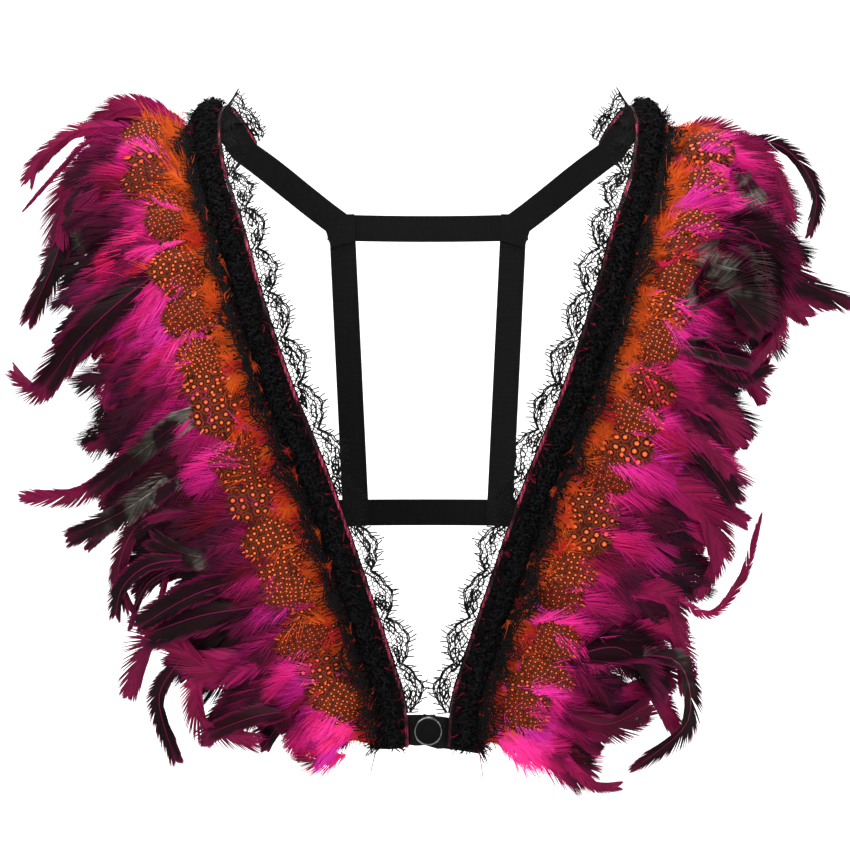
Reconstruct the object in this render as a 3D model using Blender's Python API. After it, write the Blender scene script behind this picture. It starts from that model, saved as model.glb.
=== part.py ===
import math
from collections import namedtuple

import bmesh
import bpy
from mathutils import Matrix, Vector

# A harness of two feather epaulettes, in metres. +X is the wearer's left, -Y the chest and +Z up.
# The origin lies midway between the two points where the bands cross the shoulders.

gap = 0.0003             # between pieces that touch
lap_gap = 0.0005         # between laps of elastic that curve round the back
sewn_gap = 0.00095       # between a band and the elastic behind it, which is flatter

# Route of each band
shoulder_half = 0.148    # centre plane to the band's centre line at its widest
front_drop = 0.416       # shoulder crest to the band's lower end
torso_depth = 0.192      # band on the chest to the elastic across the back
rib_back = 0.092         # side of the ribs to that elastic
chest_depth = torso_depth - rib_back
side_lean = 0.25         # how far the chest turns the band outwards
steps_per_row = 16       # steps in which the route is measured, between two of its rows
slope_step = 0.02        # part of a row over which the route's direction is taken

BandRow = namedtuple("BandRow", "reach depth fall pitch")
band_rows = (            # shares of the three sizes above; pitch turns the face from front to top to back
    BandRow(0.150, -0.85, 1.000, 0),
    BandRow(0.160, -0.86, 0.945, 0),
    BandRow(0.200, -0.88, 0.890, 0),
    BandRow(0.313, -0.94, 0.767, 0),
    BandRow(0.465, -0.99, 0.610, 0),
    BandRow(0.630, -0.99, 0.464, 0),
    BandRow(0.755, -0.91, 0.338, 6),
    BandRow(0.860, -0.73, 0.217, 18),
    BandRow(0.955, -0.50, 0.125, 38),
    BandRow(1.000, -0.25, 0.045, 62),
    BandRow(0.985, 0.00, 0.000, 90),
    BandRow(0.930, 0.18, 0.015, 110),
    BandRow(0.870, 0.36, 0.050, 128),
)

# Across each band, from its centre line
band_inner = 0.0085
band_outer = 0.0140
band_end_outer = 0.0100  # outer half at the back end, where the band narrows to the strap
band_narrows = 0.86      # share of the band's stations after which it narrows
band_thick = 0.0015
piping_width = 0.0016
piping_thick = 0.0018
trim_inner = 0.0080
trim_outer = 0.0075
trim_height = 0.0052
trim_lump = 0.12         # share of the height lost between two tufts of the trim
Corner = namedtuple("Corner", "across height")
trim_section = (         # shares of trim_inner or trim_outer, and of the height
    Corner(-1.0, 0.0),
    Corner(1.0, 0.0),
    Corner(0.90, 0.62),
    Corner(0.35, 1.0),
    Corner(-0.40, 1.0),
    Corner(-0.92, 0.62),
)

# Lace
lace_depth = 0.021       # at the crown of a scallop
lace_dip = 0.42          # share of that depth lost between scallops
lace_thick = 0.0008
lace_lift = 0.6          # rise over depth where the lace stands up on the shoulder
lace_pull = 0.3          # share of that rise by which its edge draws back towards the band
lift_start = 0.72        # share of the lace's length where it begins to stand up
lift_run = 0.16
scallop_count = 9
scallop_columns = 6
lace_rows = (0.0, 0.34, 0.72, 1.0)   # shares of its depth
lace_start = 0.026       # clear of the front tabs

# Feather rows
row_start = 0.004        # from the band's lower end
row_stop = 0.036         # before the shoulder crest
head_thick = 0.003
feather_reach = 0.170
back_sweep = 0.045       # how far a feather of that reach curves backwards
tier_thick = 0.0042
tier_gap = 0.0012
tier_sink = 0.004        # centre of the rearmost tier behind the band's line
tier_taper = 0.6         # share of its thickness that a lock loses at its tip
long_tiers = (0, 1)      # neighbouring locks lie in turn on these tiers
soft_tiers = (2, 3)
spotted_tiers = (5.4,)
tail_cell = 0.8          # spacing of the band's stations past its feathers, over half a lock's width
spread_run = 0.019       # from a lock's root to where the tiers stand fully apart
turn_run = 0.060         # from a lock's root to where the tiers are stacked straight forwards
hackle_share = 0.70      # of a long feather's curve that the soft feathers follow
spotted_run = 0.036

# One row for each lock of long feathers, from the shoulder down: tip outwards and down from its root,
# rise of the curve between, as shares of feather_reach, and width as a share of the root's width.
Lock = namedtuple("Lock", "reach fall arch width")
left_locks = (
    Lock(0.64, 0.19, 0.35, 0.95),
    Lock(0.74, 0.14, 0.28, 0.85),
    Lock(0.80, 0.41, 0.20, 1.05),
    Lock(0.88, 0.48, 0.12, 0.95),
    Lock(0.66, 0.46, 0.08, 1.00),
    Lock(0.80, 0.39, 0.05, 0.90),
    Lock(1.00, 0.41, 0.05, 1.00),
    Lock(0.87, 0.38, 0.10, 1.00),
    Lock(0.90, 0.27, 0.05, 0.95),
    Lock(0.89, 0.32, 0.10, 1.05),
    Lock(0.90, 0.23, 0.10, 0.90),
    Lock(0.89, 0.31, 0.10, 1.00),
    Lock(0.78, 0.42, 0.10, 0.90),
    Lock(0.58, 0.26, 0.05, 1.05),
    Lock(0.41, 0.21, 0.00, 1.00),
)
right_locks = (
    Lock(0.64, 0.32, 0.45, 0.95),
    Lock(0.66, 0.23, 0.30, 1.00),
    Lock(0.88, 0.34, 0.15, 1.05),
    Lock(0.79, 0.25, 0.10, 0.95),
    Lock(0.71, 0.25, 0.08, 1.00),
    Lock(0.62, 0.34, 0.05, 1.00),
    Lock(0.82, 0.25, 0.05, 0.95),
    Lock(0.74, 0.26, 0.05, 1.00),
    Lock(0.84, 0.16, 0.02, 0.95),
    Lock(0.94, 0.02, -0.20, 0.85),
    Lock(0.79, 0.28, 0.05, 1.00),
    Lock(0.83, 0.32, 0.10, 1.00),
    Lock(0.83, 0.36, 0.05, 0.90),
    Lock(0.64, 0.33, 0.05, 1.00),
    Lock(0.59, 0.26, 0.00, 0.95),
)
Ring = namedtuple("Ring", "share width")   # the first of each lock is set by spread_run instead of its share
coque_rings = (Ring(0.0, 0.82), Ring(0.38, 1.30), Ring(0.62, 1.15), Ring(0.83, 0.66), Ring(1.0, 0.08))
hackle_rings = (Ring(0.0, 0.82), Ring(0.50, 1.35), Ring(0.80, 1.10), Ring(1.0, 0.40))
spotted_rings = (Ring(0.0, 0.92), Ring(1.0, 0.52))
lock_section = (         # shares of half a lock's width, and of its thickness
    Corner(1, -0.25),
    Corner(0, -0.5),
    Corner(-1, -0.25),
    Corner(-1, 0.25),
    Corner(0, 0.5),
    Corner(1, 0.25),
)

# Elastic
elastic_width = 0.019
elastic_thick = 0.0014
rib_half = 0.150         # centre plane to the underarm strap at the side
rib_centre = -0.005
rib_steps = 20
held_inner = 0.002       # underarm strap behind the band, from its centre line and past its outer edge
held_past = 0.004
frame_top_half = 0.0628  # centre plane to a side bar's centre, at the top bar and at the lower bar
frame_bottom_half = 0.052
frame_top_drop = 0.070
frame_bottom_up = 0.139  # lower end of the bands to the lower bar
frame_bottom_drop = front_drop - frame_bottom_up
bar_steps = 8
strap_lap = 0.022        # length of strap under the band's back end
strap_bulge = 0.003
strap_tail = 0.015       # past the corner, down the side bar
strap_steps = 7
corner_out = 0.20        # the strap's corner out from the side bar and up from the top bar, in elastic widths
corner_up = 0.15
tail_in = 0.05

# Front closing
closure_up = 0.011       # lower end of the bands to the stud
closure_drop = front_drop - closure_up
closure_share = 0.878    # of the chest's depth
closure_depth = closure_share * chest_depth
flat_half = 0.0075       # flat stretch of each tab, from the centre
tab_past = 0.65          # share of that stretch by which each tab passes the centre
tab_hold = 0.012         # length of tab behind the band, past the band's centre line
left_rise = 0.001
right_rise = 0.007
cap_radius = 0.009
cap_rim = 0.0017
cap_thick = 0.0028
cap_dish = 0.0009
post_radius = 0.0025
stud_radius = 0.006
stud_thick = 0.0012
cutter_length = 0.02
round_steps = 24

Frame = namedtuple("Frame", "point across normal")


def smooth(rows, t):
    last = len(rows) - 1
    i = min(max(int(t), 0), last - 1)
    u = t - i
    a, b, c, d = (Vector(rows[min(max(i + k, 0), last)]) for k in (-1, 0, 1, 2))
    bow = 2 * a - 5 * b + 4 * c - d
    return 0.5 * (2 * b + (c - a) * u + bow * u ** 2 + (3 * b - a - 3 * c + d) * u ** 3)


def band_point(t):
    row = smooth(band_rows, t)
    return Vector((row[0] * shoulder_half, row[1] * chest_depth, -row[2] * front_drop))


def band_frame(t):
    last = len(band_rows) - 1
    along = (band_point(min(t + slope_step, last)) - band_point(max(t - slope_step, 0))).normalized()
    pitch = math.radians(smooth(band_rows, t)[3])
    facing = Vector((side_lean, -math.cos(pitch), math.sin(pitch)))
    normal = (facing - along * facing.dot(along)).normalized()
    return Frame(band_point(t), along.cross(normal), normal)


def measure_band():
    # distance along the band at each small step of its route
    marks = [(0.0, 0.0)]
    for i in range(steps_per_row * (len(band_rows) - 1)):
        start, end = i / steps_per_row, (i + 1) / steps_per_row
        marks.append((marks[-1][0] + (band_point(end) - band_point(start)).length, end))
    return marks


band_marks = measure_band()
band_length = band_marks[-1][0]


def step_at(distance):
    for (d0, t0), (d1, t1) in zip(band_marks, band_marks[1:]):
        if distance <= d1:
            return t0 + (t1 - t0) * (distance - d0) / (d1 - d0)
    return band_marks[-1][1]


def distance_at(fall):
    # along the front run, where the band is this far below the crest
    for (d0, t0), (d1, t1) in zip(band_marks, band_marks[1:]):
        high, low = -band_point(t1).z, -band_point(t0).z
        if high <= fall <= low:
            return d0 + (d1 - d0) * (low - fall) / max(low - high, 1e-9)
    return 0.0


crest_row = next(i for i, row in enumerate(band_rows) if row.fall == 0)
crest = next(d for d, t in band_marks if t >= crest_row)
row_end = crest - row_stop
cell_count = len(left_locks)
cell = (row_end - row_start) / cell_count
half_cell = cell / 2
row_top = -band_point(step_at(row_end)).z


def band_distances():
    # the band's stations, which the feather heads share so that their faces stay parallel
    marks = [0.0] + [row_start + half_cell * i for i in range(2 * cell_count + 1)]
    rest = band_length - marks[-1]
    tail = max(round(rest / (tail_cell * half_cell)), 2)
    return marks + [marks[-1] + rest * i / tail for i in range(1, tail + 1)]


def outer_edge(i, count):
    share = max(0.0, (i / (count - 1) - band_narrows) / (1 - band_narrows))
    return band_outer + (band_end_outer - band_outer) * share


def bridge(bm, a, b, widths, skip=None):
    # every four-sided stretch is split from its inner corner, so that stacked layers stay parallel
    for k in range(len(a)):
        j = (k + 1) % len(a)
        if k == skip:
            continue
        if widths[k] <= widths[j]:
            bm.faces.new((a[k], a[j], b[j]))
            bm.faces.new((a[k], b[j], b[k]))
        else:
            bm.faces.new((a[k], a[j], b[k]))
            bm.faces.new((a[j], b[j], b[k]))


def sweep(frames, section):
    bm = bmesh.new()
    rings = []
    for i, frame in enumerate(frames):
        corners = [frame.point + frame.across * w + frame.normal * n for w, n in section(i)]
        rings.append([bm.verts.new(corner) for corner in corners])
    for a, b in zip(rings, rings[1:]):
        bridge(bm, a, b, [w for w, n in section(0)])
    bm.faces.new(rings[0])
    bm.faces.new(rings[-1])
    return bm


def box_section(inner, outer, low, high):
    return [(-inner, low), (outer, low), (outer, high), (-inner, high)]


def ribbon(points, normals, width=elastic_width):
    # elastic through these points, its inner face on them; its width turns half-way at each bend
    frames = []
    count = len(points)
    for i, (point, normal) in enumerate(zip(points, normals)):
        before = (point - points[max(i - 1, 0)]).normalized()
        after = (points[min(i + 1, count - 1)] - point).normalized()
        along = (before + after).normalized()
        flat = (normal - along * normal.dot(along)).normalized()
        stretch = 1 / max(along.dot(after if i < count - 1 else before), 0.5)
        frames.append(Frame(point, along.cross(flat) * stretch, flat))
    return sweep(frames, lambda i: box_section(width / 2, width / 2, 0, elastic_thick))


def band():
    frames = [band_frame(step_at(d)) for d in band_distances()]
    count = len(frames)
    seam = trim_outer + gap / 2

    def section(i):
        outer = outer_edge(i, count)
        return [(-band_inner, 0), (seam, 0), (outer, 0), (outer, band_thick), (seam, band_thick),
                (-band_inner, band_thick)]

    return sweep(frames, section)


def piping():
    frames = [band_frame(step_at(d)) for d in band_distances()]
    near = band_inner + gap
    return sweep(frames, lambda i: box_section(near + piping_width, -near, 0, piping_thick))


def fur_trim():
    frames = [band_frame(step_at(d)) for d in band_distances() if d < crest + half_cell / 2]
    low = band_thick + gap

    def tuft(i):
        height = trim_height * (1 - trim_lump * (i % 2))
        halves = [trim_outer if corner.across > 0 else trim_inner for corner in trim_section]
        return [(corner.across * half, low + corner.height * height) for corner, half in zip(trim_section, halves)]

    return sweep(frames, tuft)


def lace():
    # a pierced strip, one hole in every other cell of its middle row
    columns = scallop_count * scallop_columns
    start = band_inner + 2 * gap + piping_width
    bm = bmesh.new()
    grid = []
    for c in range(columns + 1):
        share = c / columns
        frame = band_frame(step_at(lace_start + (band_length - lace_start) * share))
        wave = math.sin(math.pi * (c % scallop_columns) / scallop_columns)
        depth = lace_depth * (1 - lace_dip * (1 - wave))
        stand = lace_lift * min(1.0, max(0.0, (share - lift_start) / lift_run))
        line = []
        for r in lace_rows:
            reach = depth * r
            line.append(bm.verts.new(frame.point - frame.across * (start + reach * (1 - lace_pull * stand))
                                     + frame.normal * (gap + reach * stand)))
        grid.append(line)
    for c in range(columns):
        for r in range(len(lace_rows) - 1):
            if not (r == 1 and c % 2 == 1):
                bm.faces.new((grid[c][r], grid[c][r + 1], grid[c + 1][r + 1], grid[c + 1][r]))
    bmesh.ops.recalc_face_normals(bm, faces=bm.faces[:])
    bmesh.ops.solidify(bm, geom=bm.faces[:], thickness=lace_thick)
    return bm


def fall_surface(x, z):
    # depth of the sheet that all feathers follow: the band's own, then sweeping back with distance
    fall = min(max(-z, row_top), front_drop)
    point = band_point(step_at(distance_at(fall)))
    away = max(0.0, x - point.x - band_outer)
    return point.y + back_sweep * (away / feather_reach) ** 1.6


def lock_row(locks, rings, level, tiers, cover):
    # a sewn head on the band, and one lock from each cell of its outer side
    low = band_thick + gap + level * (head_thick + gap)
    inner, outer = trim_outer + gap, band_outer - gap
    bm = bmesh.new()
    high = low + head_thick
    head = []
    for i in range(2 * cell_count + 1):
        frame = band_frame(step_at(row_end - half_cell * i))
        corners = ((inner, low), (outer, low), (outer, high), (inner, high))
        head.append([bm.verts.new(frame.point + frame.across * w + frame.normal * n) for w, n in corners])
    for a, b in zip(head, head[1:]):
        bridge(bm, b, a, (inner, outer, outer, inner), skip=1)
    bm.faces.new(head[0])
    bm.faces.new(head[-1])
    for n, lock in enumerate(locks):
        tier = tiers[n % len(tiers)]
        a, b, c = head[2 * n:2 * n + 3]
        last = [a[1], b[1], c[1], c[2], b[2], a[2]]
        root = (b[1].co + b[2].co) / 2
        tip = root + Vector((lock.reach, 0, -lock.fall)) * feather_reach
        bend = (root + tip) / 2 + Vector((0, 0, lock.arch * feather_reach))
        facing = band_frame(step_at(row_end - half_cell * (2 * n + 1))).normal
        for ring in rings:
            t = max(ring.share * cover(tip - root), spread_run / (tip - root).length)
            centre = root * (1 - t) ** 2 + bend * 2 * t * (1 - t) + tip * t ** 2
            run = (bend - root) * (1 - t) + (tip - bend) * t
            side = Vector((run.z, 0, -run.x)).normalized() * -0.5 * cell * ring.width * lock.width
            stack = facing.lerp(Vector((0, -1, 0)), min(1.0, (centre - root).length / turn_run)).normalized()
            corners = []
            thick = tier_thick * (1 - tier_taper * ring.share)
            for corner in lock_section:
                spot = centre + side * corner.across
                spot.y = fall_surface(spot.x, spot.z)
                lift = tier * (tier_thick + tier_gap) - tier_sink + corner.height * thick
                corners.append(bm.verts.new(spot + stack * lift))
            for k in range(len(corners)):
                j = (k + 1) % len(corners)
                bm.faces.new((last[k], last[j], corners[j], corners[k]))
            last = corners
        bm.faces.new(last)
    return bm


def long_feathers(locks):
    return lock_row(locks, coque_rings, 0, long_tiers, lambda span: 1)


def soft_feathers(locks):
    return lock_row(locks, hackle_rings, 1, soft_tiers, lambda span: hackle_share)


def spotted_feathers(locks):
    return lock_row(locks, spotted_rings, 2, spotted_tiers, lambda span: spotted_run / span.length)


def back_spot(half, layer):
    # point and facing on the curve of the back, with layers counted towards the body
    turn = math.asin(half / rib_half)
    normal = Vector((math.sin(turn) / rib_half, math.cos(turn) / rib_back, 0)).normalized()
    point = Vector((half, rib_centre + rib_back * math.cos(turn), 0))
    return point - normal * layer * (elastic_thick + lap_gap), normal


def shoulder_strap():
    under = gap + elastic_thick
    points, normals = [], []
    for distance in (band_length - strap_lap, band_length - strap_lap / 2, band_length):
        frame = band_frame(step_at(distance))
        points.append(frame.point - frame.normal * under)
        normals.append(frame.normal)
    corner, back = back_spot(frame_top_half + corner_out * elastic_width, 2)
    corner.z = -frame_top_drop + corner_up * elastic_width
    start, first = points[-1], normals[-1]
    for i in range(1, strap_steps):
        t = i / strap_steps
        facing = first.lerp(back, t).normalized()
        points.append(start.lerp(corner, t) + facing * strap_bulge * math.sin(math.pi * t))
        normals.append(facing)
    end, back = back_spot(frame_top_half - tail_in * elastic_width, 2)
    end.z = corner.z - strap_tail
    return ribbon(points + [corner, end], normals + [back, back])


def top_bar():
    points, normals = [], []
    for i in range(-bar_steps, bar_steps + 1):
        point, normal = back_spot((frame_top_half + elastic_width / 2) * i / bar_steps, 0)
        points.append(point - Vector((0, 0, frame_top_drop)))
        normals.append(normal)
    return ribbon(points, normals)


def side_bar():
    points, normals = [], []
    top = -frame_top_drop + elastic_width / 2
    bottom = -frame_bottom_drop - elastic_width / 2
    for i in range(bar_steps + 1):
        t = i / bar_steps
        point, normal = back_spot(frame_top_half + (frame_bottom_half - frame_top_half) * t, 1)
        point.z = top + (bottom - top) * t
        points.append(point)
        normals.append(normal)
    return ribbon(points, normals)


def underarm_strap():
    # from behind one band, round the ribs and the back, to behind the other
    frame = band_frame(step_at(distance_at(frame_bottom_drop)))
    level = Vector((-frame.normal.y, frame.normal.x, 0)).normalized()
    base = frame.point - frame.normal * (sewn_gap + elastic_thick)
    held = [base + level * held_inner, base + level * (band_outer + held_past)]
    leave = held[-1]
    turn = math.pi - math.asin(leave.x / rib_half)
    rib_front = (rib_centre - leave.y) / -math.cos(turn)
    points, normals = list(held), [frame.normal, frame.normal]
    for i in range(1, rib_steps + 1):
        a = turn * (1 - i / rib_steps)
        depth = rib_back if a < math.pi / 2 else rib_front
        points.append(Vector((rib_half * math.sin(a), rib_centre + depth * math.cos(a), leave.z)))
        normals.append(Vector((math.sin(a) / rib_half, math.cos(a) / depth, 0)).normalized())
    flip = Vector((-1, 1, 1))
    points += [point * flip for point in reversed(points[:-1])]
    normals += [normal * flip for normal in reversed(normals[:-1])]
    return ribbon(points, normals)


def front_tab(rise, layer):
    # from behind the band's lower end to a flat stretch across the centre, pierced for the stud
    frame = band_frame(step_at(distance_at(closure_drop)))
    level = Vector((-frame.normal.y, frame.normal.x, 0)).normalized()
    base = frame.point - frame.normal * (sewn_gap + elastic_thick)
    front = Vector((0, -1, 0))
    depth = -closure_depth - layer * (elastic_thick + gap)
    outer, inner = base + level * tab_hold, base - level * (band_inner + piping_width + 3 * gap)
    points = [outer, base, inner]
    for x in (flat_half, 0, -tab_past * flat_half):
        points.append(Vector((x, depth, -closure_drop)))
    for point in points:
        point.z = -closure_drop - rise * (point.x / outer.x)
    return ribbon(points, [frame.normal] * 3 + [front] * 3)


def lathe(profile):
    # turned round Y from (radius, depth) pairs whose two ends lie on the axis
    bm = bmesh.new()
    verts = [bm.verts.new((r, y, 0)) for r, y in profile]
    edges = [bm.edges.new(pair) for pair in zip(verts, verts[1:])]
    bmesh.ops.spin(bm, geom=verts + edges, cent=(0, 0, 0), axis=(0, 1, 0), angle=2 * math.pi,
                   steps=round_steps, use_merge=True, use_duplicate=False)
    bmesh.ops.remove_doubles(bm, verts=bm.verts[:], dist=1e-6)
    return bm


def front_snap():
    face = -closure_depth - 2 * elastic_thick - 2 * gap
    back = -closure_depth + gap
    rim = cap_radius - cap_rim
    bm = lathe([
        (0, face - cap_thick + cap_dish),
        (rim * 0.95, face - cap_thick + cap_dish),
        (rim, face - cap_thick + cap_dish * 0.6),
        (rim + cap_rim * 0.25, face - cap_thick * 0.98),
        (rim + cap_rim * 0.6, face - cap_thick),
        (rim + cap_rim * 0.92, face - cap_thick * 0.8),
        (cap_radius, face - cap_thick * 0.5),
        (cap_radius * 0.96, face - cap_thick * 0.1),
        (cap_radius * 0.88, face),
        (post_radius, face),
        (post_radius, back),
        (stud_radius, back),
        (stud_radius, back + stud_thick * 0.7),
        (stud_radius * 0.9, back + stud_thick),
        (0, back + stud_thick),
    ])
    bmesh.ops.translate(bm, verts=bm.verts[:], vec=(0, 0, -closure_drop))
    return bm


def material(name, colour, rough, metal=0.0):
    found = bpy.data.materials.get(name)
    if found:
        return found
    made = bpy.data.materials.new(name)
    made.use_nodes = True
    shader = made.node_tree.nodes["Principled BSDF"]
    shader.inputs["Base Color"].default_value = (*colour, 1)
    shader.inputs["Roughness"].default_value = rough
    shader.inputs["Metallic"].default_value = metal
    return made


finishes = {
    "ribbon": ((0.02, 0.02, 0.02), 0.8),
    "pink_piping": ((0.75, 0.10, 0.18), 0.6),
    "black_boucle": ((0.010, 0.010, 0.011), 0.95),
    "black_lace": ((0.012, 0.012, 0.013), 0.9),
    "spotted_feather": ((0.45, 0.10, 0.02), 0.7),
    "magenta_feather": ((0.60, 0.02, 0.24), 0.75),
    "dark_feather": ((0.10, 0.015, 0.05), 0.45),
    "elastic": ((0.012, 0.012, 0.013), 0.75),
    "gunmetal": ((0.15, 0.15, 0.16), 0.25, 1.0),
}


def piece(name, bm, finish, mirrored=False):
    if mirrored:
        bmesh.ops.scale(bm, verts=bm.verts[:], vec=(-1, 1, 1))
    bmesh.ops.recalc_face_normals(bm, faces=bm.faces[:])
    mesh = bpy.data.meshes.new(name)
    bm.to_mesh(mesh)
    bm.free()
    mesh.materials.append(material(finish, *finishes[finish]))
    made = bpy.data.objects.new(name, mesh)
    bpy.context.scene.collection.objects.link(made)
    made.parent = harness
    return made


def pierce(target, name):
    bm = bmesh.new()
    bmesh.ops.create_cone(bm, cap_ends=True, segments=round_steps, radius1=post_radius + gap,
                          radius2=post_radius + gap, depth=cutter_length,
                          matrix=Matrix.Translation((0, -closure_depth, -closure_drop))
                          @ Matrix.Rotation(math.pi / 2, 4, "X"))
    cutter = piece(name, bm, "elastic")
    cutter.hide_render = True
    cutter.display_type = "WIRE"
    cut = target.modifiers.new("stud_hole", "BOOLEAN")
    cut.operation = "DIFFERENCE"
    cut.object = cutter


for old in list(bpy.data.objects):
    bpy.data.objects.remove(old, do_unlink=True)

harness = bpy.data.objects.new("harness", None)
bpy.context.scene.collection.objects.link(harness)

for side, locks, mirrored in (("left", left_locks, True), ("right", right_locks, False)):
    # left and right are the photograph's
    piece("band_" + side, band(), "ribbon", mirrored)
    piece("piping_" + side, piping(), "pink_piping", mirrored)
    piece("fur_trim_" + side, fur_trim(), "black_boucle", mirrored)
    piece("lace_" + side, lace(), "black_lace", mirrored)
    piece("spotted_row_" + side, spotted_feathers(locks), "spotted_feather", mirrored)
    piece("hackle_row_" + side, soft_feathers(locks), "magenta_feather", mirrored)
    piece("coque_row_" + side, long_feathers(locks), "dark_feather", mirrored)
    piece("shoulder_strap_" + side, shoulder_strap(), "elastic", mirrored)
    piece("back_side_bar_" + side, side_bar(), "elastic", mirrored)
piece("back_top_bar", top_bar(), "elastic")
piece("underarm_strap", underarm_strap(), "elastic")
pierce(piece("front_tab_left", front_tab(left_rise, 0), "elastic", True), "left_stud_cutter")
pierce(piece("front_tab_right", front_tab(right_rise, 1), "elastic"), "right_stud_cutter")
piece("front_snap", front_snap(), "gunmetal")
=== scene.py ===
import math

import bmesh
import bpy
import numpy as np
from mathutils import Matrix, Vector


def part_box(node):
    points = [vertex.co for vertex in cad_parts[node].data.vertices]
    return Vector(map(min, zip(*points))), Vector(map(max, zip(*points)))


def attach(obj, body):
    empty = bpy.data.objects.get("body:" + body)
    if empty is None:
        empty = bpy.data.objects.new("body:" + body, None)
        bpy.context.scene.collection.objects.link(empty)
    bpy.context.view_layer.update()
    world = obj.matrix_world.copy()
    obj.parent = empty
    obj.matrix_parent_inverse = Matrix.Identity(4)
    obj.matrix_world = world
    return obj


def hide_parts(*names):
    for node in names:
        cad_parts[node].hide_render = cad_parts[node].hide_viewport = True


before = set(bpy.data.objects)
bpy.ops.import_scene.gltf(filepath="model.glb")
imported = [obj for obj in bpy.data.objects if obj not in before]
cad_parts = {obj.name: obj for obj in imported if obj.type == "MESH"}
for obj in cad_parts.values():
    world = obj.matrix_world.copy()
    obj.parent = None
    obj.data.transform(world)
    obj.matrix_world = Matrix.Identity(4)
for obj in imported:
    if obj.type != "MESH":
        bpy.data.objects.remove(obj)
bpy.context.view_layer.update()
print("frame loaded")

# The route of each band, shared with the solids. Rows hold reach, depth and fall as shares of
# the sizes, and pitch.
route = {
    "shoulderHalf": 0.148,
    "chestDepth": 0.100,
    "frontDrop": 0.416,
    "sideLean": 0.25,
    "rows": (
        (0.150, -0.85, 1.000, 0),
        (0.160, -0.86, 0.945, 0),
        (0.200, -0.88, 0.890, 0),
        (0.313, -0.94, 0.767, 0),
        (0.465, -0.99, 0.610, 0),
        (0.630, -0.99, 0.464, 0),
        (0.755, -0.91, 0.338, 6),
        (0.860, -0.73, 0.217, 18),
        (0.955, -0.50, 0.125, 38),
        (1.000, -0.25, 0.045, 62),
        (0.985, 0.00, 0.000, 90),
        (0.930, 0.18, 0.015, 110),
        (0.870, 0.36, 0.050, 128),
    ),
    "crestRow": 10,
    "samples": 1201,
    "rowStart": 0.004,       # the feather rows start this far from the band's front end
    "rowStop": 0.036,        # and stop this far before the crest
    "bandOuter": 0.014,
    "featherReach": 0.170,
    "backSweep": 0.045,      # how far back the sheet of feathers lies at full reach
    "sweepPower": 1.6,
}

# Reach, fall and arch of the long feathers, from the shoulder down, as shares of featherReach
lockRows = {
    "left": (
        (0.64, 0.19, 0.35), (0.74, 0.14, 0.28), (0.80, 0.41, 0.20), (0.88, 0.48, 0.12), (0.66, 0.46, 0.08),
        (0.80, 0.39, 0.05), (1.00, 0.41, 0.05), (0.87, 0.38, 0.10), (0.90, 0.27, 0.05), (0.89, 0.32, 0.10),
        (0.90, 0.23, 0.10), (0.89, 0.31, 0.10), (0.78, 0.42, 0.10), (0.58, 0.26, 0.05), (0.41, 0.21, 0.00),
    ),
    "right": (
        (0.64, 0.32, 0.45), (0.66, 0.23, 0.30), (0.88, 0.34, 0.15), (0.79, 0.25, 0.10), (0.71, 0.25, 0.08),
        (0.62, 0.34, 0.05), (0.82, 0.25, 0.05), (0.74, 0.26, 0.05), (0.84, 0.16, 0.02), (0.94, 0.02, -0.20),
        (0.79, 0.28, 0.05), (0.83, 0.32, 0.10), (0.83, 0.36, 0.05), (0.64, 0.33, 0.05), (0.59, 0.26, 0.00),
    ),
}


def smoothTable(rows, t):
    # a Catmull-Rom curve through a table's rows
    rows = np.array(rows, float)
    last = len(rows) - 1
    i = np.clip(t.astype(int), 0, last - 1)
    u = (t - i)[:, None]
    a, b, c, d = (rows[np.clip(i + k, 0, last)] for k in (-1, 0, 1, 2))
    straight = 2 * b + (c - a) * u
    return 0.5 * (straight + (2 * a - 5 * b + 4 * c - d) * u ** 2 + (3 * b - a - 3 * c + d) * u ** 3)


def unit(v):
    return v / np.maximum(np.linalg.norm(v, axis=-1, keepdims=True), 1e-12)


def sample(table, steps, where):
    # a table of points, read between its rows
    return np.stack([np.interp(where, steps, table[:, k]) for k in range(3)], -1)


def measureRoute():
    steps = np.linspace(0, len(route["rows"]) - 1, route["samples"])
    row = smoothTable(route["rows"], steps)
    points = row[:, :3] * (route["shoulderHalf"], route["chestDepth"], -route["frontDrop"])
    run = unit(np.gradient(points, axis=0))
    pitch = np.radians(row[:, 3])
    facing = np.stack([np.full(len(pitch), route["sideLean"]), -np.cos(pitch), np.sin(pitch)], 1)
    normals = unit(facing - run * (facing * run).sum(1, keepdims=True))
    marks = np.concatenate([[0], np.cumsum(np.linalg.norm(np.diff(points, axis=0), axis=1))])
    return marks, points, np.cross(run, normals), normals, steps


marks, routePoints, routeAcross, routeNormals, routeSteps = measureRoute()
bandLength = marks[-1]
crest = marks[np.searchsorted(routeSteps, route["crestRow"])]
rowEnd = crest - route["rowStop"]
frontReach, frontDepth, frontFall = (routePoints[routeSteps <= route["crestRow"]][::-1] * (1, 1, -1)).T


def bandFrame(distance):
    # the band's middle, its outward direction and its normal, at distances along it
    return [sample(table, marks, distance) for table in (routePoints, routeAcross, routeNormals)]


rowTop = -bandFrame(rowEnd)[0][2]


def fallSurface(x, z):
    # depth of the sheet that all feathers follow
    fall = np.clip(-z, rowTop, route["frontDrop"])
    away = np.maximum(0, x - np.interp(fall, frontFall, frontReach) - route["bandOuter"])
    sweep = (away / route["featherReach"]) ** route["sweepPower"]
    return np.interp(fall, frontFall, frontDepth) + route["backSweep"] * sweep


camera = {
    "place": (-0.002, -1.2, -0.213), "across": 0.578, "sensor": 36.0, "picture": 850,
    # where the search for the sheet's depth starts, and how often it is bettered
    "firstDepth": -0.05, "rounds": 4,
}


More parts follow.
